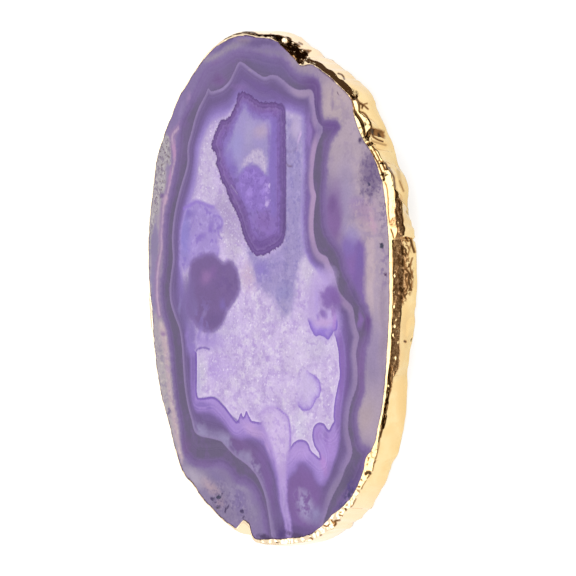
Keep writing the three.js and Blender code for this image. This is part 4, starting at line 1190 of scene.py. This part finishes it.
SCRATCHES = [  # cracks, folds and dark lines, pushed in and darkened with painted shade: half width, depth, darkness, line
    (0.1, 0.04, 0.8, [(14, 36.7), (14.4, 36.2), (15, 36), (15.8, 35.3)]),
    (0.08, 0.03, 0.7, [(14.6, 35.7), (15, 36.2), (15.6, 36.4)]),
    (0.1, 0.04, 0.9, [(14.2, 36.5), (14.8, 36.1), (14.6, 35.5)]),
    (0.1, 0.05, 0.8, [(9.9, 42.3), (10.5, 42.1), (10.9, 41.7), (11.1, 41.2)]),
    (0.1, 0.05, 0.8, [(12.5, 37.3), (12.8, 36.3), (13.1, 35.3)]),
    (0.24, 0.1, 0.95, [(13, 35), (13.5, 34.3), (14.2, 33.3), (14.7, 32.3), (14.9, 31.4), (15.1, 30.4)]),
    (0.1, 0.04, 0.85, [(13.5, 37.4), (13.9, 36.7), (14.1, 35.7), (14, 34.9)]),
    (0.1, 0.04, 0.85, [(14.1, 34.8), (15, 34.5), (15.8, 33.5), (16.3, 32.3), (16.5, 31.6)]),
    (0.26, 0.1, 0.9, [(12.6, 37.9), (13, 37.5), (13.4, 37.6)]),
    (0.12, 0.05, 0.8, [(16.8, 29.8), (17.6, 29.3), (18.7, 28.9)]),
    (0.3, 0.125, 0.9, [(15.4, 30), (15.8, 30.6), (16.2, 31.2)]),
    (0.32, 0.125, 0.85, [(15.7, 28.4), (16.4, 28.5)]),
    (0.18, 0.05, 0.35, [(16.6, 29), (17.8, 28.6), (19.3, 28.2)]),
    (0.12, 0.05, 0.85, [(16.4, 27.2), (17.1, 25.8), (17.8, 24.6), (18.2, 23.5), (18.5, 22.7)]),
    (0.22, 0.1, 0.9, [(18.6, 22.7), (18.8, 22.1), (18.9, 21.5)]),
    (0.1, 0.04, 0.55, [(19.1, 20.9), (19.5, 19.9), (19.7, 18.3), (19.7, 16.6), (19.8, 14.6), (20, 13)]),
    (0.1, 0.04, 0.7, [(16.7, 27.8), (17.4, 26.6), (18.1, 25.2), (18.5, 24.7)]),
    (0.16, 0.06, 0.9, [(18.6, 24.9), (18.8, 24.1), (19.1, 23.5)]),
    (0.1, 0.04, 0.8, [(19.2, 24.7), (19.5, 24.1)]), (0.16, 0.06, 0.9, [(19.4, 23.9), (20, 23.6)]),
    (0.1, 0.03, 0.7, [(18.9, 23.4), (19.7, 23.4)]),
    (0.12, 0.04, 0.8, [(20, 23.5), (20.5, 22.6), (20.9, 21.7)]),
    (0.12, 0.04, 0.75, [(20.9, 21.5), (21.1, 20.1), (21.2, 18.5), (21.3, 17.2)]),
    (0.36, 0.025, 0.2, [(21.7, 23.3), (22, 21.7), (22.3, 20.1)]),
    (0.12, 0.03, 0.5, [(22, 21.1), (22.4, 20.1), (22.8, 19.1)]),
    (0.1, 0.04, 0.8, [(20.3, 11.6), (20.6, 10.7), (20.8, 9.9)]),
    (0.1, 0.04, 0.7, [(21.6, 12.2), (21.6, 11), (21.3, 10.1)]), (0.18, 0.06, 0.8, [(23.2, 9.9), (23.6, 9.3)]),
    (0.2, 0.075, 0.85, [(24.2, 9.5), (24.5, 8.3), (24.9, 7.1)]),
    (0.1, 0.04, 0.5, [(24.3, 8.9), (23.9, 7.5), (23.6, 6.3)]),
    (0.12, 0.04, 0.6, [(24.5, 5.9), (24.1, 4.3), (24.3, 3)]),
    (0.16, 0.06, 0.85, [(23.3, 3.7), (23.9, 2.8), (23.8, 1.6), (24.3, -0.4)]),
    (0.12, 0.05, 0.7, [(24.2, 3.6), (24.6, 2)]), (0.12, 0.05, 0.7, [(22.9, 5.1), (23.1, 3.6)]),
    (0.12, 0.05, 0.7, [(23.1, 1.6), (23.6, 0.2), (23, -0.8)]),
    (0.18, 0.06, 0.8, [(23, -10.5), (23.2, -10.6)]),
    (0.26, 0.06, 0.7, [(20.3, -15.8), (20, -17.4), (20.1, -18.7), (20.3, -19.5)]),
    (0.26, 0.06, 0.66, [(20.2, -20.1), (19.8, -21.3), (19.5, -22.5), (19.2, -24.1)]),
    (0.1, 0.025, 0.6, [(19.2, -24.1), (19.1, -25)]),
    (0.3, 0.075, 0.72, [(19.1, -25.2), (18.9, -26.4), (18.6, -27.6)]),
    (0.14, 0.05, 0.8, [(21.7, 17.4), (22.1, 16.6), (22, 15.4)]),
    (0.14, 0.05, 0.7, [(22.4, 14.6), (22.7, 13.4), (22.5, 12.4)]),
    (0.12, 0.04, 0.7, [(21.4, 15.2), (21.6, 14.2)]), (0.16, 0.05, 0.8, [(18.5, -28), (18.2, -29.4)]),
    (0.08, 0.025, 0.5, [(18.1, -29.6), (17.9, -31.2), (17.6, -32.5), (17.3, -33.7)]),
    (0.12, 0.04, 0.7, [(17.2, -34.1), (17.1, -34.5)]), (0.08, 0.025, 0.5, [(17, -34.7), (16.7, -36.1)]),
    (0.28, 0.1, 0.95, [(15.3, -36.7), (15.6, -36.4), (16, -36.4), (16.2, -36.6)]),
    (0.12, 0.03, 0.6, [(16, -37.1), (15.6, -37.5)]), (0.14, 0.05, 0.85, [(13.9, -39.2), (14.1, -39.2)]),
    (0.1, 0.04, 0.7, [(14.3, -37.8), (14.4, -37.9)]), (0.1, 0.04, 0.6, [(13.7, -40), (14, -40.2)]),
    (0.16, 0.06, 0.85, [(11.3, -43.6), (11.4, -43.8)]), (0.08, 0.025, 0.5, [(11.4, -43), (11.7, -42.6)]),
    (0.1, 0.03, 0.55, [(10.3, -44.3), (10.5, -44.2)]), (0.1, 0.03, 0.55, [(10.1, -44.8), (10.7, -44.9)]),
    (0.08, 0.025, 0.6, [(15.7, -34.1), (15.9, -33.5)]), (0.08, 0.025, 0.5, [(15.4, -34.9), (15.7, -34.7)]),
    (0.08, 0.025, 0.4, [(16.3, -32.1), (16.7, -32.5)]),
    (0.08, 0.025, 0.5, [(15.4, -38), (14.8, -38.9), (14.5, -39.6)]),
    (0.08, 0.025, 0.45, [(13.4, -41.6), (12.9, -42.6), (12.4, -43.2)]),
    (0.14, 0.05, 0.7, [(9.4, -45.9), (10.2, -45.8)]),
    (0.2, 0.075, 0.75, [(9.2, -46.1), (9.4, -46.5), (9.1, -46.8)]),
    (0.12, 0.05, 0.7, [(8.5, -45.8), (8.9, -46.4)]),
    (0.12, 0.05, 0.7, [(8, -46.7), (7.7, -47), (7.1, -46.9)]), (0.1, 0.03, 0.5, [(6.4, -48.8), (6.6, -48.7)]),
    (0.1, 0.03, 0.4, [(5.3, -48.2), (5.6, -48.1)]), (0.2, 0.05, 0.6, [(4.5, -49.4), (4.7, -49.5)]),
    (0.16, 0.05, 0.95, [(-8.9, 50.5), (-7.5, 50.5), (-6.7, 50.3), (-5.9, 49.9), (-5.1, 49.9)]),
    (0.14, 0.05, 0.95, [(-4.7, 49.8), (-3.9, 49.8), (-3.4, 50)]),
    (0.26, 0.075, 0.95, [(-3, 49.8), (-2.2, 49.2), (-1.7, 48.5), (-1.4, 47.9)]),
    (0.18, 0.075, 0.95, [(-1.6, 49.6), (-0.6, 49.4), (0.3, 49.2), (0.5, 49)]),
    (0.18, 0.075, 0.9, [(-1.4, 47.7), (-0.6, 48), (0, 48.4)]), (0.12, 0.05, 0.7, [(2.2, 48.4), (2.8, 48.1)]),
    (0.12, 0.05, 0.7, [(1.6, 47.8), (2.3, 47.6)]), (0.1, 0.04, 0.6, [(3.7, 46.5), (4.5, 46.8)]),
    (0.14, 0.05, 0.9, [(-1, 47.4), (0.2, 46.4), (1.2, 45.3), (2.1, 44.4), (2.6, 44.5)]),
]
WARM_REFLECTIONS = [  # painted reflections: patches where the gold is painted deeper, for the surroundings that the wall mirrors: place, radii, share
    (18.1, 28.2, 2, 1, 0.9), (20.7, 28.2, 1.6, 1.2, 0.3), (23.1, -6.7, 1, 5.1, 0.6),
    (22.3, -12.6, 0.8, 2.4, 0.35), (22.5, -22.5, 1, 5.9, 0.6), (21.1, -30, 1.2, 2.4, 0.3),
    (22.7, 19.3, 0.6, 2.4, 0.4), (22.9, 13, 0.6, 3.2, 0.35), (17, 35.5, 1.2, 2, 0.25),
    (12.6, 39.1, 2, 1.6, 0.3), (19.1, -37.9, 1.2, 3.9, 0.15),
]
SPARKLES = [  # small facets tipped up to the light: place, radius, turn in degrees
    (-0.7, 48.8, 0.59, 42), (1, 48.3, 0.26, 40), (2.8, 46.7, 0.3, 42), (2.5, 44.9, 0.28, 22),
    (1.2, 46.5, 0.2, 18), (21, 2.4, 0.28, 40), (20.9, -3.7, 0.26, 38), (21, -7.6, 0.3, 38),
    (20.7, -9.3, 0.26, 38), (21.2, -13.8, 0.26, 40), (21.7, -10.8, 0.22, 28), (20.9, -0.8, 0.24, 16),
    (21.3, -6.3, 0.2, 22), (21.6, -8.5, 0.2, 24), (19.8, -19.3, 0.24, 30), (19.1, -20.5, 0.22, 25),
    (22.1, 15.9, 0.16, 30), (22, 13.6, 0.14, 26), (21.6, 12.9, 0.16, 30), (22.3, 11.6, 0.14, 24),
]


def evened(values, over=4, round_it=5):
    """The same grid with the small unevenness taken out, down each row and from row to row."""
    padded = np.pad(values, ((0, 0), (over, over)), mode="edge")
    values = sum(padded[:, i:i + values.shape[1]] for i in range(2 * over + 1)) / (2 * over + 1)
    return sum(np.roll(values, i, 0) for i in range(-round_it, round_it + 1)) / (2 * round_it + 1)


def solid_section(degrees):
    """The outside of the solid band, smoothed, as (radius, height) from lip to lip at each angle."""
    columns = at_angle(BAND, degrees)
    before, after = 2 * columns[:, :1] - columns[:, 1:2], 2 * columns[:, -1:] - columns[:, -2:-1]
    ends = np.concatenate([before, columns, after], 1)
    dense = [curve(*(ends[:, k + i] for i in range(4)), t) for k in range(columns.shape[1] - 1)
        for t in np.arange(SOLID_PIECES) / SOLID_PIECES]
    return np.stack([*dense, columns[:, -1]], 1)


def section(*points):
    """The same points at each step, as (radius, height). Either can be one number or one for each step."""
    every = np.zeros(BAND_STEPS)
    return np.stack([np.stack([radius + every, height + every], 1) for radius, height in points], 1)


def band_section():
    """The plating's outside at each step: angle, (radius, height) from lip to lip, and the stone's edges."""
    degrees = np.arange(BAND_STEPS) * 360 / BAND_STEPS
    top_edge, low_edge = (at_angle(STONE[:, ring, 0], degrees) for ring in (0, 1))
    flat, tilt, bevel, turn, spread, undercut, shift, rise = (around(table, degrees) for table in
        (LIP_FLAT, LIP_TILT, LIP_BEVEL, BEVEL_TURN, WALL_SPREAD, WALL_UNDERCUT, WALL_SHIFT, LIP_RISE))
    ring = in_space(degrees, section((NOISE_RADIUS, 0)))[:, 0]
    ripple = np.clip(0.5 + 0.9 * lumps(ring, 1.7, 3) + 0.4 * lumps(ring, 0.7, 4), 0, 1.3)
    lip_start = top_edge - (LIP_REACH + around(LIP_WANDER, degrees) * ripple)
    flat = flat * (1 + 0.12 * lumps(ring, 1.6, 5))
    top = FACE_HEIGHT + rise
    drop = np.tan(np.radians(tilt)) * (flat + 0.1)
    corner_r, corner_z = top_edge + flat + bevel, top - drop - bevel / np.tan(np.radians(turn))
    upper = section((lip_start, FACE_HEIGHT + SEAT), (lip_start + LIP_SIDE, top - LIP_ROUND),
        (lip_start + LIP_TOP, top), (top_edge + flat, top - drop), (corner_r, corner_z))
    # the wall follows the solid, but spreads and falls back no faster than its tables say
    solid = solid_section(degrees)
    below = np.linspace(0, 1, WALL_POINTS)[None, :] ** WALL_SPACING
    wall_z = corner_z[:, None] * (1 - below) + WALL_END * below
    wall_r = np.array([np.interp(-z, -outline[:, 1], outline[:, 0]) for z, outline in zip(wall_z, solid)])
    wall_r = evened(wall_r + shift[:, None])
    corner, fallen = corner_r[:, None], corner_z[:, None] - wall_z
    wall_r = np.clip(wall_r, corner - fallen * undercut[:, None], corner + fallen * spread[:, None])
    wall = np.stack([wall_r, wall_z], 2)[:, 1:]
    foot = solid[:, solid[0, :, 1] < WALL_END - FOOT_GAP]
    foot[..., 0] += (wall_r[:, -1] - foot[:, 0, 0])[:, None] * foot[..., 1] / WALL_END
    lip_end = low_edge - LIP_REACH
    low = section((lip_end + LIP_TOP, 0), (lip_end + LIP_SIDE, BACK_HEIGHT - LIP_TOP),
        (lip_end, BACK_HEIGHT - SEAT))
    return degrees, np.concatenate([upper, wall, foot, low], 1), top_edge, low_edge


def spread_along(path, count):
    """Each path's points spread along it again, closest together on the upper lip."""
    steps = np.hypot(*np.moveaxis(np.diff(path, axis=1), 2, 0))
    height = path[:, 1:, 1]
    steps = steps * (0.6 + 0.5 * smooth_step(0.8, 2, height) + 1.3 * smooth_step(4.2, 5.1, height))
    along = np.concatenate([np.zeros((len(path), 1)), np.cumsum(steps, 1)], 1)
    even = np.empty((len(path), count, 2))
    for i, (run, line) in enumerate(zip(along, path)):
        wanted = np.linspace(0, run[-1], count)
        for part in (0, 1):
            even[i, :, part] = np.interp(wanted, run, line[:, part])
    return even


def in_space(degrees, path):
    turn = np.radians(degrees)[:, None]
    return np.stack([path[..., 0] * np.cos(turn), path[..., 0] * np.sin(turn), path[..., 1]], 2)


def outward(skin):
    """The normals of a grid of points that closes around the slice."""
    around_it = np.roll(skin, -1, 0) - np.roll(skin, 1, 0)
    normal = np.cross(np.gradient(skin, axis=1), around_it)
    return normal / np.linalg.norm(normal, axis=2, keepdims=True)


def in_view(places):
    """Places in mm, seen in the plane that faces the camera: mm from the picture's middle."""
    across = (math.cos(VIEW_ANGLE), 0, -math.sin(VIEW_ANGLE))
    away = places - np.array(VIEW_TARGET) / MM
    scale = VIEW_DISTANCE / (VIEW_DISTANCE - away @ TO_CAMERA * MM)
    return np.stack([away @ across * scale, away[:, 1] * scale], 1)


def band_marks(skin, normal):
    """How the marks push each point out in mm, and its shares of painted shade, of worn plating with painted
    shade, of speckles and of painted warm reflection.
    """
    seen = in_view(skin)
    to_camera = normal @ TO_CAMERA
    facing = smooth_step(0.02, 0.12, to_camera)
    depth, dark = np.zeros(len(skin)), np.zeros(len(skin))
    # dark holds painted shade: in the cracks and folds, the pit, the crumpled foil and along the brown zone's
    # edge
    for half, deep, painted_shade, line in SCRATCHES:
        share = smooth_step(half + 0.16, half * 0.5, distance_to(seen, line, closed=False, reach=2.0))
        depth, dark = np.maximum(depth, deep * share), np.maximum(dark, painted_shade * share)

    def zone(line, low, high):
        return smooth_step(low, high, distance_to(seen, line, reach=3.0) + 0.12 * lumps(skin, 0.5, 41))

    pit, crumpled = zone(PIT, -0.15, 0.3), zone(CRUMPLED_ZONE, -0.15, 0.25)
    depth = np.maximum(depth, (PIT_DEPTH + PIT_ROUGHNESS * lumps(skin, 0.5, 43)) * pit)
    patchy = np.clip(0.72 + 0.4 * lumps(skin, 0.6, 42), 0.55, 1)
    dark = np.maximum(dark, np.maximum(patchy * pit, 0.85 * crumpled))
    brown, speckled = zone(BROWN_ZONE, -0.15, 0.15), zone(SPECKLED_ZONE, -0.5, 0.5)
    brown_edge = distance_to(seen, BROWN_EDGE, closed=False, reach=2.0)
    dark = np.maximum(dark, 0.5 * smooth_step(0.3, 0.0, brown_edge))
    push = -depth
    clean = np.ones(len(skin))
    for u, v, radius, turn in SPARKLES:
        away = np.hypot(seen[:, 0] - u, seen[:, 1] - v)
        share = smooth_step(1.25 * radius + 0.05, 0.75 * radius, away)
        middle = skin[np.argmin(away + 9 * (to_camera < 0))]  # the nearest point that faces the camera
        rise = (skin[:, 2] - middle[2]) / np.sqrt(np.maximum(1 - normal[:, 2] ** 2, 0.1))
        push -= math.tan(math.radians(turn)) * np.clip(rise, -0.8, 0.8) * share * facing
        clean *= 1 - share
    warm = np.zeros(len(skin))
    for u, v, wide, high, amount in WARM_REFLECTIONS:
        away = np.hypot((seen[:, 0] - u) / wide, (seen[:, 1] - v) / high)
        warm = np.maximum(warm, amount * smooth_step(1.5, 0.3, away))
    return [values * facing for values in (push, dark * clean, brown * clean, speckled * clean, warm)]


def build_band():
    degrees, path, top_edge, low_edge = band_section()
    path = spread_along(path, SKIN_POINTS)
    skin = in_space(degrees, path)
    normal = outward(skin)
    flat = skin.reshape(-1, 3)
    height, up = path[..., 1], normal[..., 2]

    def field(values):
        return values.reshape(BAND_STEPS, SKIN_POINTS)

    def relief(noise, rows):
        return field(sum(depth * noise(flat, size, seed) for depth, size, seed in rows))

    run = np.linspace(0, 1, SKIN_POINTS)[None, :]
    hold = smooth_step(0, 0.06, run) * smooth_step(1, 0.965, run)  # the lips stay on the stone
    on_lip = smooth_step(0.3, 0.7, up) * smooth_step(3.4, 4.4, height)
    on_shoulder = smooth_step(0.1, 0.4, up) * smooth_step(0.97, 0.85, up) * smooth_step(2.4, 3.6, height)
    move = relief(lumps, DENTS)
    move += around(LIP_FACETS, degrees)[:, None] * on_lip * relief(flats, FACETS)
    move += around(SHOULDER_GRAIN, degrees)[:, None] * on_shoulder * relief(lumps, GRAIN)
    push, *shares = (field(values) for values in band_marks(flat, normal.reshape(-1, 3)))
    skin = skin + normal * ((move + push) * hold)[..., None]
    skin[..., 2] = np.clip(skin[..., 2], 0.0, LIP_HEIGHT + 0.05)

    inner_low, inner_top = low_edge + CLEAR, top_edge + CLEAR
    inner_wall = section((inner_low, BACK_HEIGHT - SEAT),
        (0.5 * (inner_low + inner_top), 0.5 * (BACK_HEIGHT + FACE_HEIGHT)), (inner_top, FACE_HEIGHT + SEAT))
    loop = np.concatenate([skin, in_space(degrees, inner_wall)], 1)
    a = np.arange(loop[..., 0].size).reshape(loop.shape[:2])
    b = np.roll(a, -1, 0)
    c, d = np.roll(b, -1, 1), np.roll(a, -1, 1)
    faces = np.stack([a, d, c, b], 2).reshape(-1, 4).tolist()
    piece = new_mesh("gilded_band_plated", loop.reshape(-1, 3), faces)
    for name, values in zip(("dark", "brown", "speckled", "warm"), shares):
        full = np.zeros(loop.shape[:2])
        full[:, :SKIN_POINTS] = values
        store(piece, name, full.ravel())
    return piece


# The gilding's colours, linear
GOLD_DEEP, GOLD_LIGHT = (0.87, 0.64, 0.31, 1), (0.90, 0.70, 0.37, 1)
# the two paler golds on this line are painted highlights: towards both ends, and on the left
GOLD_PAINTED_HIGHLIGHT_ENDS, GOLD_PAINTED_HIGHLIGHT_LEFT = (0.93, 0.73, 0.5, 1), (0.97, 0.84, 0.62, 1)
GOLD_WARM_REFLECTION = (0.83, 0.55, 0.23, 1)
WORN_AND_SHADED_LIGHT, WORN_AND_SHADED_DARK = (0.8, 0.5, 0.24, 1), (0.4, 0.2, 0.08, 1)
SHADE_AND_FLECK_BROWN, SHADE_AND_FLECK_BLACK = (0.3, 0.14, 0.045, 1), (0.045, 0.024, 0.009, 1)


def gold_material():
    shader = Shader(bpy.data.materials.new("gilding"))
    place = shader.add("ShaderNodeTexCoord").outputs["Object"]
    millimetres = shader.vector("MULTIPLY", place, (1 / MM,) * 3)
    broad = shader.noise(millimetres, 2.5, 3.0, 0.6)
    fine = shader.noise(millimetres, 0.3, 3.0, 0.65)
    dark, brown, speckled, warm = (shader.field(name) for name in ("dark", "brown", "speckled", "warm"))
    colour = shader.mix(shader.span(broad, 0.35, 0.65), GOLD_DEEP, GOLD_LIGHT)
    parts = shader.add("ShaderNodeSeparateXYZ", {0: millimetres}).outputs
    # painted highlight: paler gold towards both ends of the slice
    colour = shader.mix(shader.span(shader.math("ABSOLUTE", parts["Y"]), 34, 47), colour, GOLD_PAINTED_HIGHLIGHT_ENDS)
    # painted highlight: paler gold towards the left side, where the edge catches the light
    colour = shader.mix(shader.span(parts["X"], -22, -32), colour, GOLD_PAINTED_HIGHLIGHT_LEFT)
    # painted reflection: deeper, warmer gold in the listed patches on the wall
    reflection_warmth = shader.math("MULTIPLY", warm, shader.span(broad, 0.3, 0.6, 0.6, 1.0))
    colour = shader.mix(reflection_warmth, colour, GOLD_WARM_REFLECTION)
    # the brown zone: worn plating over a rough crust, and painted shade where the shoulder mirrors the dark
    # side
    worn_and_shaded = shader.mix(shader.span(fine, 0.4, 0.62), WORN_AND_SHADED_LIGHT, WORN_AND_SHADED_DARK)
    colour = shader.mix(brown, colour, worn_and_shaded)
    streaks = shader.noise(shader.vector("MULTIPLY", millimetres, (1, 0.6, 1)), 0.6, 2.0, 0.6)
    flecks = shader.math("MULTIPLY", speckled, shader.span(streaks, 0.47, 0.56))
    dark = shader.math("MAXIMUM", dark, shader.math("MULTIPLY", flecks, 0.8))
    # painted shade in the cracks, folds, pit and crumpled foil, and the dark flecks of the speckled zone
    colour = shader.mix(shader.span(dark, 0.0, 0.55, kind="LINEAR"), colour, SHADE_AND_FLECK_BROWN)
    colour = shader.mix(shader.span(dark, 0.45, 1.0), colour, SHADE_AND_FLECK_BLACK)
    roughness = shader.math("MULTIPLY_ADD", brown, 0.24, shader.span(broad, 0.3, 0.7, 0.1, 0.18))
    height = shader.math("ADD", shader.math("MULTIPLY", shader.noise(millimetres, 0.8, 2.0), 0.3),
        shader.math("MULTIPLY", fine, shader.math("ADD", brown, 0.1)))
    bump = shader.add("ShaderNodeBump", {"Height": height, "Strength": 0.3, "Distance": 0.1 * MM})
    return shader.finish({"Metallic": 1.0, "Base Color": colour, "Roughness": roughness,
        "Normal": bump.outputs["Normal"]})


# The studio
def build_floor():
    corners = np.array([(-1, -1, 0), (1, -1, 0), (1, 1, 0), (-1, 1, 0)]) * FLOOR_HALF
    floor = new_mesh("floor", corners, [(0, 1, 2, 3)])
    floor.location.z = -FLOOR_DROP * MM
    shader = Shader(bpy.data.materials.new("pale_floor"))
    place = shader.add("ShaderNodeTexCoord").outputs["Object"]
    along = shader.math("ABSOLUTE", shader.add("ShaderNodeSeparateXYZ", {0: place}).outputs["Y"])
    begins, full = FLOOR_ENDS
    floor.data.materials.append(shader.finish({
        "Base Color": (FLOOR_COLOUR,) * 3 + (1,),
        "Roughness": 1.0,
        "Specular IOR Level": 0.0,
        "Emission Color": (1, 1, 1, 1),
        "Emission Strength": shader.span(along, begins * MM, full * MM, FLOOR_GLOW, FLOOR_GLOW_ENDS),
    }))


def build_studio():
    """A dim brown side behind the camera, a bright one opposite, and a soft box overhead."""
    shader = Shader(bpy.data.worlds.new("studio"), "ShaderNodeBackground", "ShaderNodeOutputWorld")
    direction = shader.add("ShaderNodeTexCoord").outputs["Generated"]
    height = shader.add("ShaderNodeSeparateXYZ", {0: direction}).outputs["Z"]
    level = shader.vector("NORMALIZE", shader.vector("MULTIPLY", direction, (1, 1, 0)))
    across = shader.vector("DOT_PRODUCT", level, (math.cos(DIM_SIDE), math.sin(DIM_SIDE), 0))

    def sky(*stops):
        """A colour by height, from rows of (height, radiance)."""
        rows = [(place, [c / SKY_TOP for c in radiance] + [1]) for place, radiance in stops]
        return shader.ramp(height, rows)[0]

    top, far, low = (SKY_TOP,) * 3, (SKY_FAR,) * 3, (SKY_LOW,) * 3
    near_side = sky((0.0, SKY_NEAR), (0.8, SKY_NEAR), (0.9, top))
    far_side = sky((0.0, low), (0.1, low), (0.22, far), (0.69, far), (0.77, top))
    colour = shader.mix(shader.span(across, *DIM_EDGE), far_side, near_side)
    bpy.context.scene.world = shader.finish({"Color": colour, "Strength": SKY_TOP})


def build_camera():
    data = bpy.data.cameras.new("camera")
    data.lens = LENS
    data.clip_start, data.clip_end = CLIP_NEAR, CLIP_FAR
    camera = bpy.data.objects.new("camera", data)
    bpy.context.scene.collection.objects.link(camera)
    camera.location = VIEW_TARGET + Vector(TO_CAMERA) * VIEW_DISTANCE
    camera.rotation_euler = (0, VIEW_ANGLE, 0)
    bpy.context.scene.camera = camera
    bpy.context.scene.view_settings.view_transform = "Standard"


def build_coaster():
    stone, pattern, edge = build_stone()
    measure_pattern(stone, pattern, edge)
    stone.data.materials.append(agate_material())
    gilding = build_band()
    gilding.data.materials.append(gold_material())
    for piece, node, slot in ((stone, "agate_slice", "agate"), (gilding, "gilded_band", "gilding")):
        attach(piece, "root")
        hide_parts(node)


build_camera()
build_studio()
build_floor()
build_coaster()
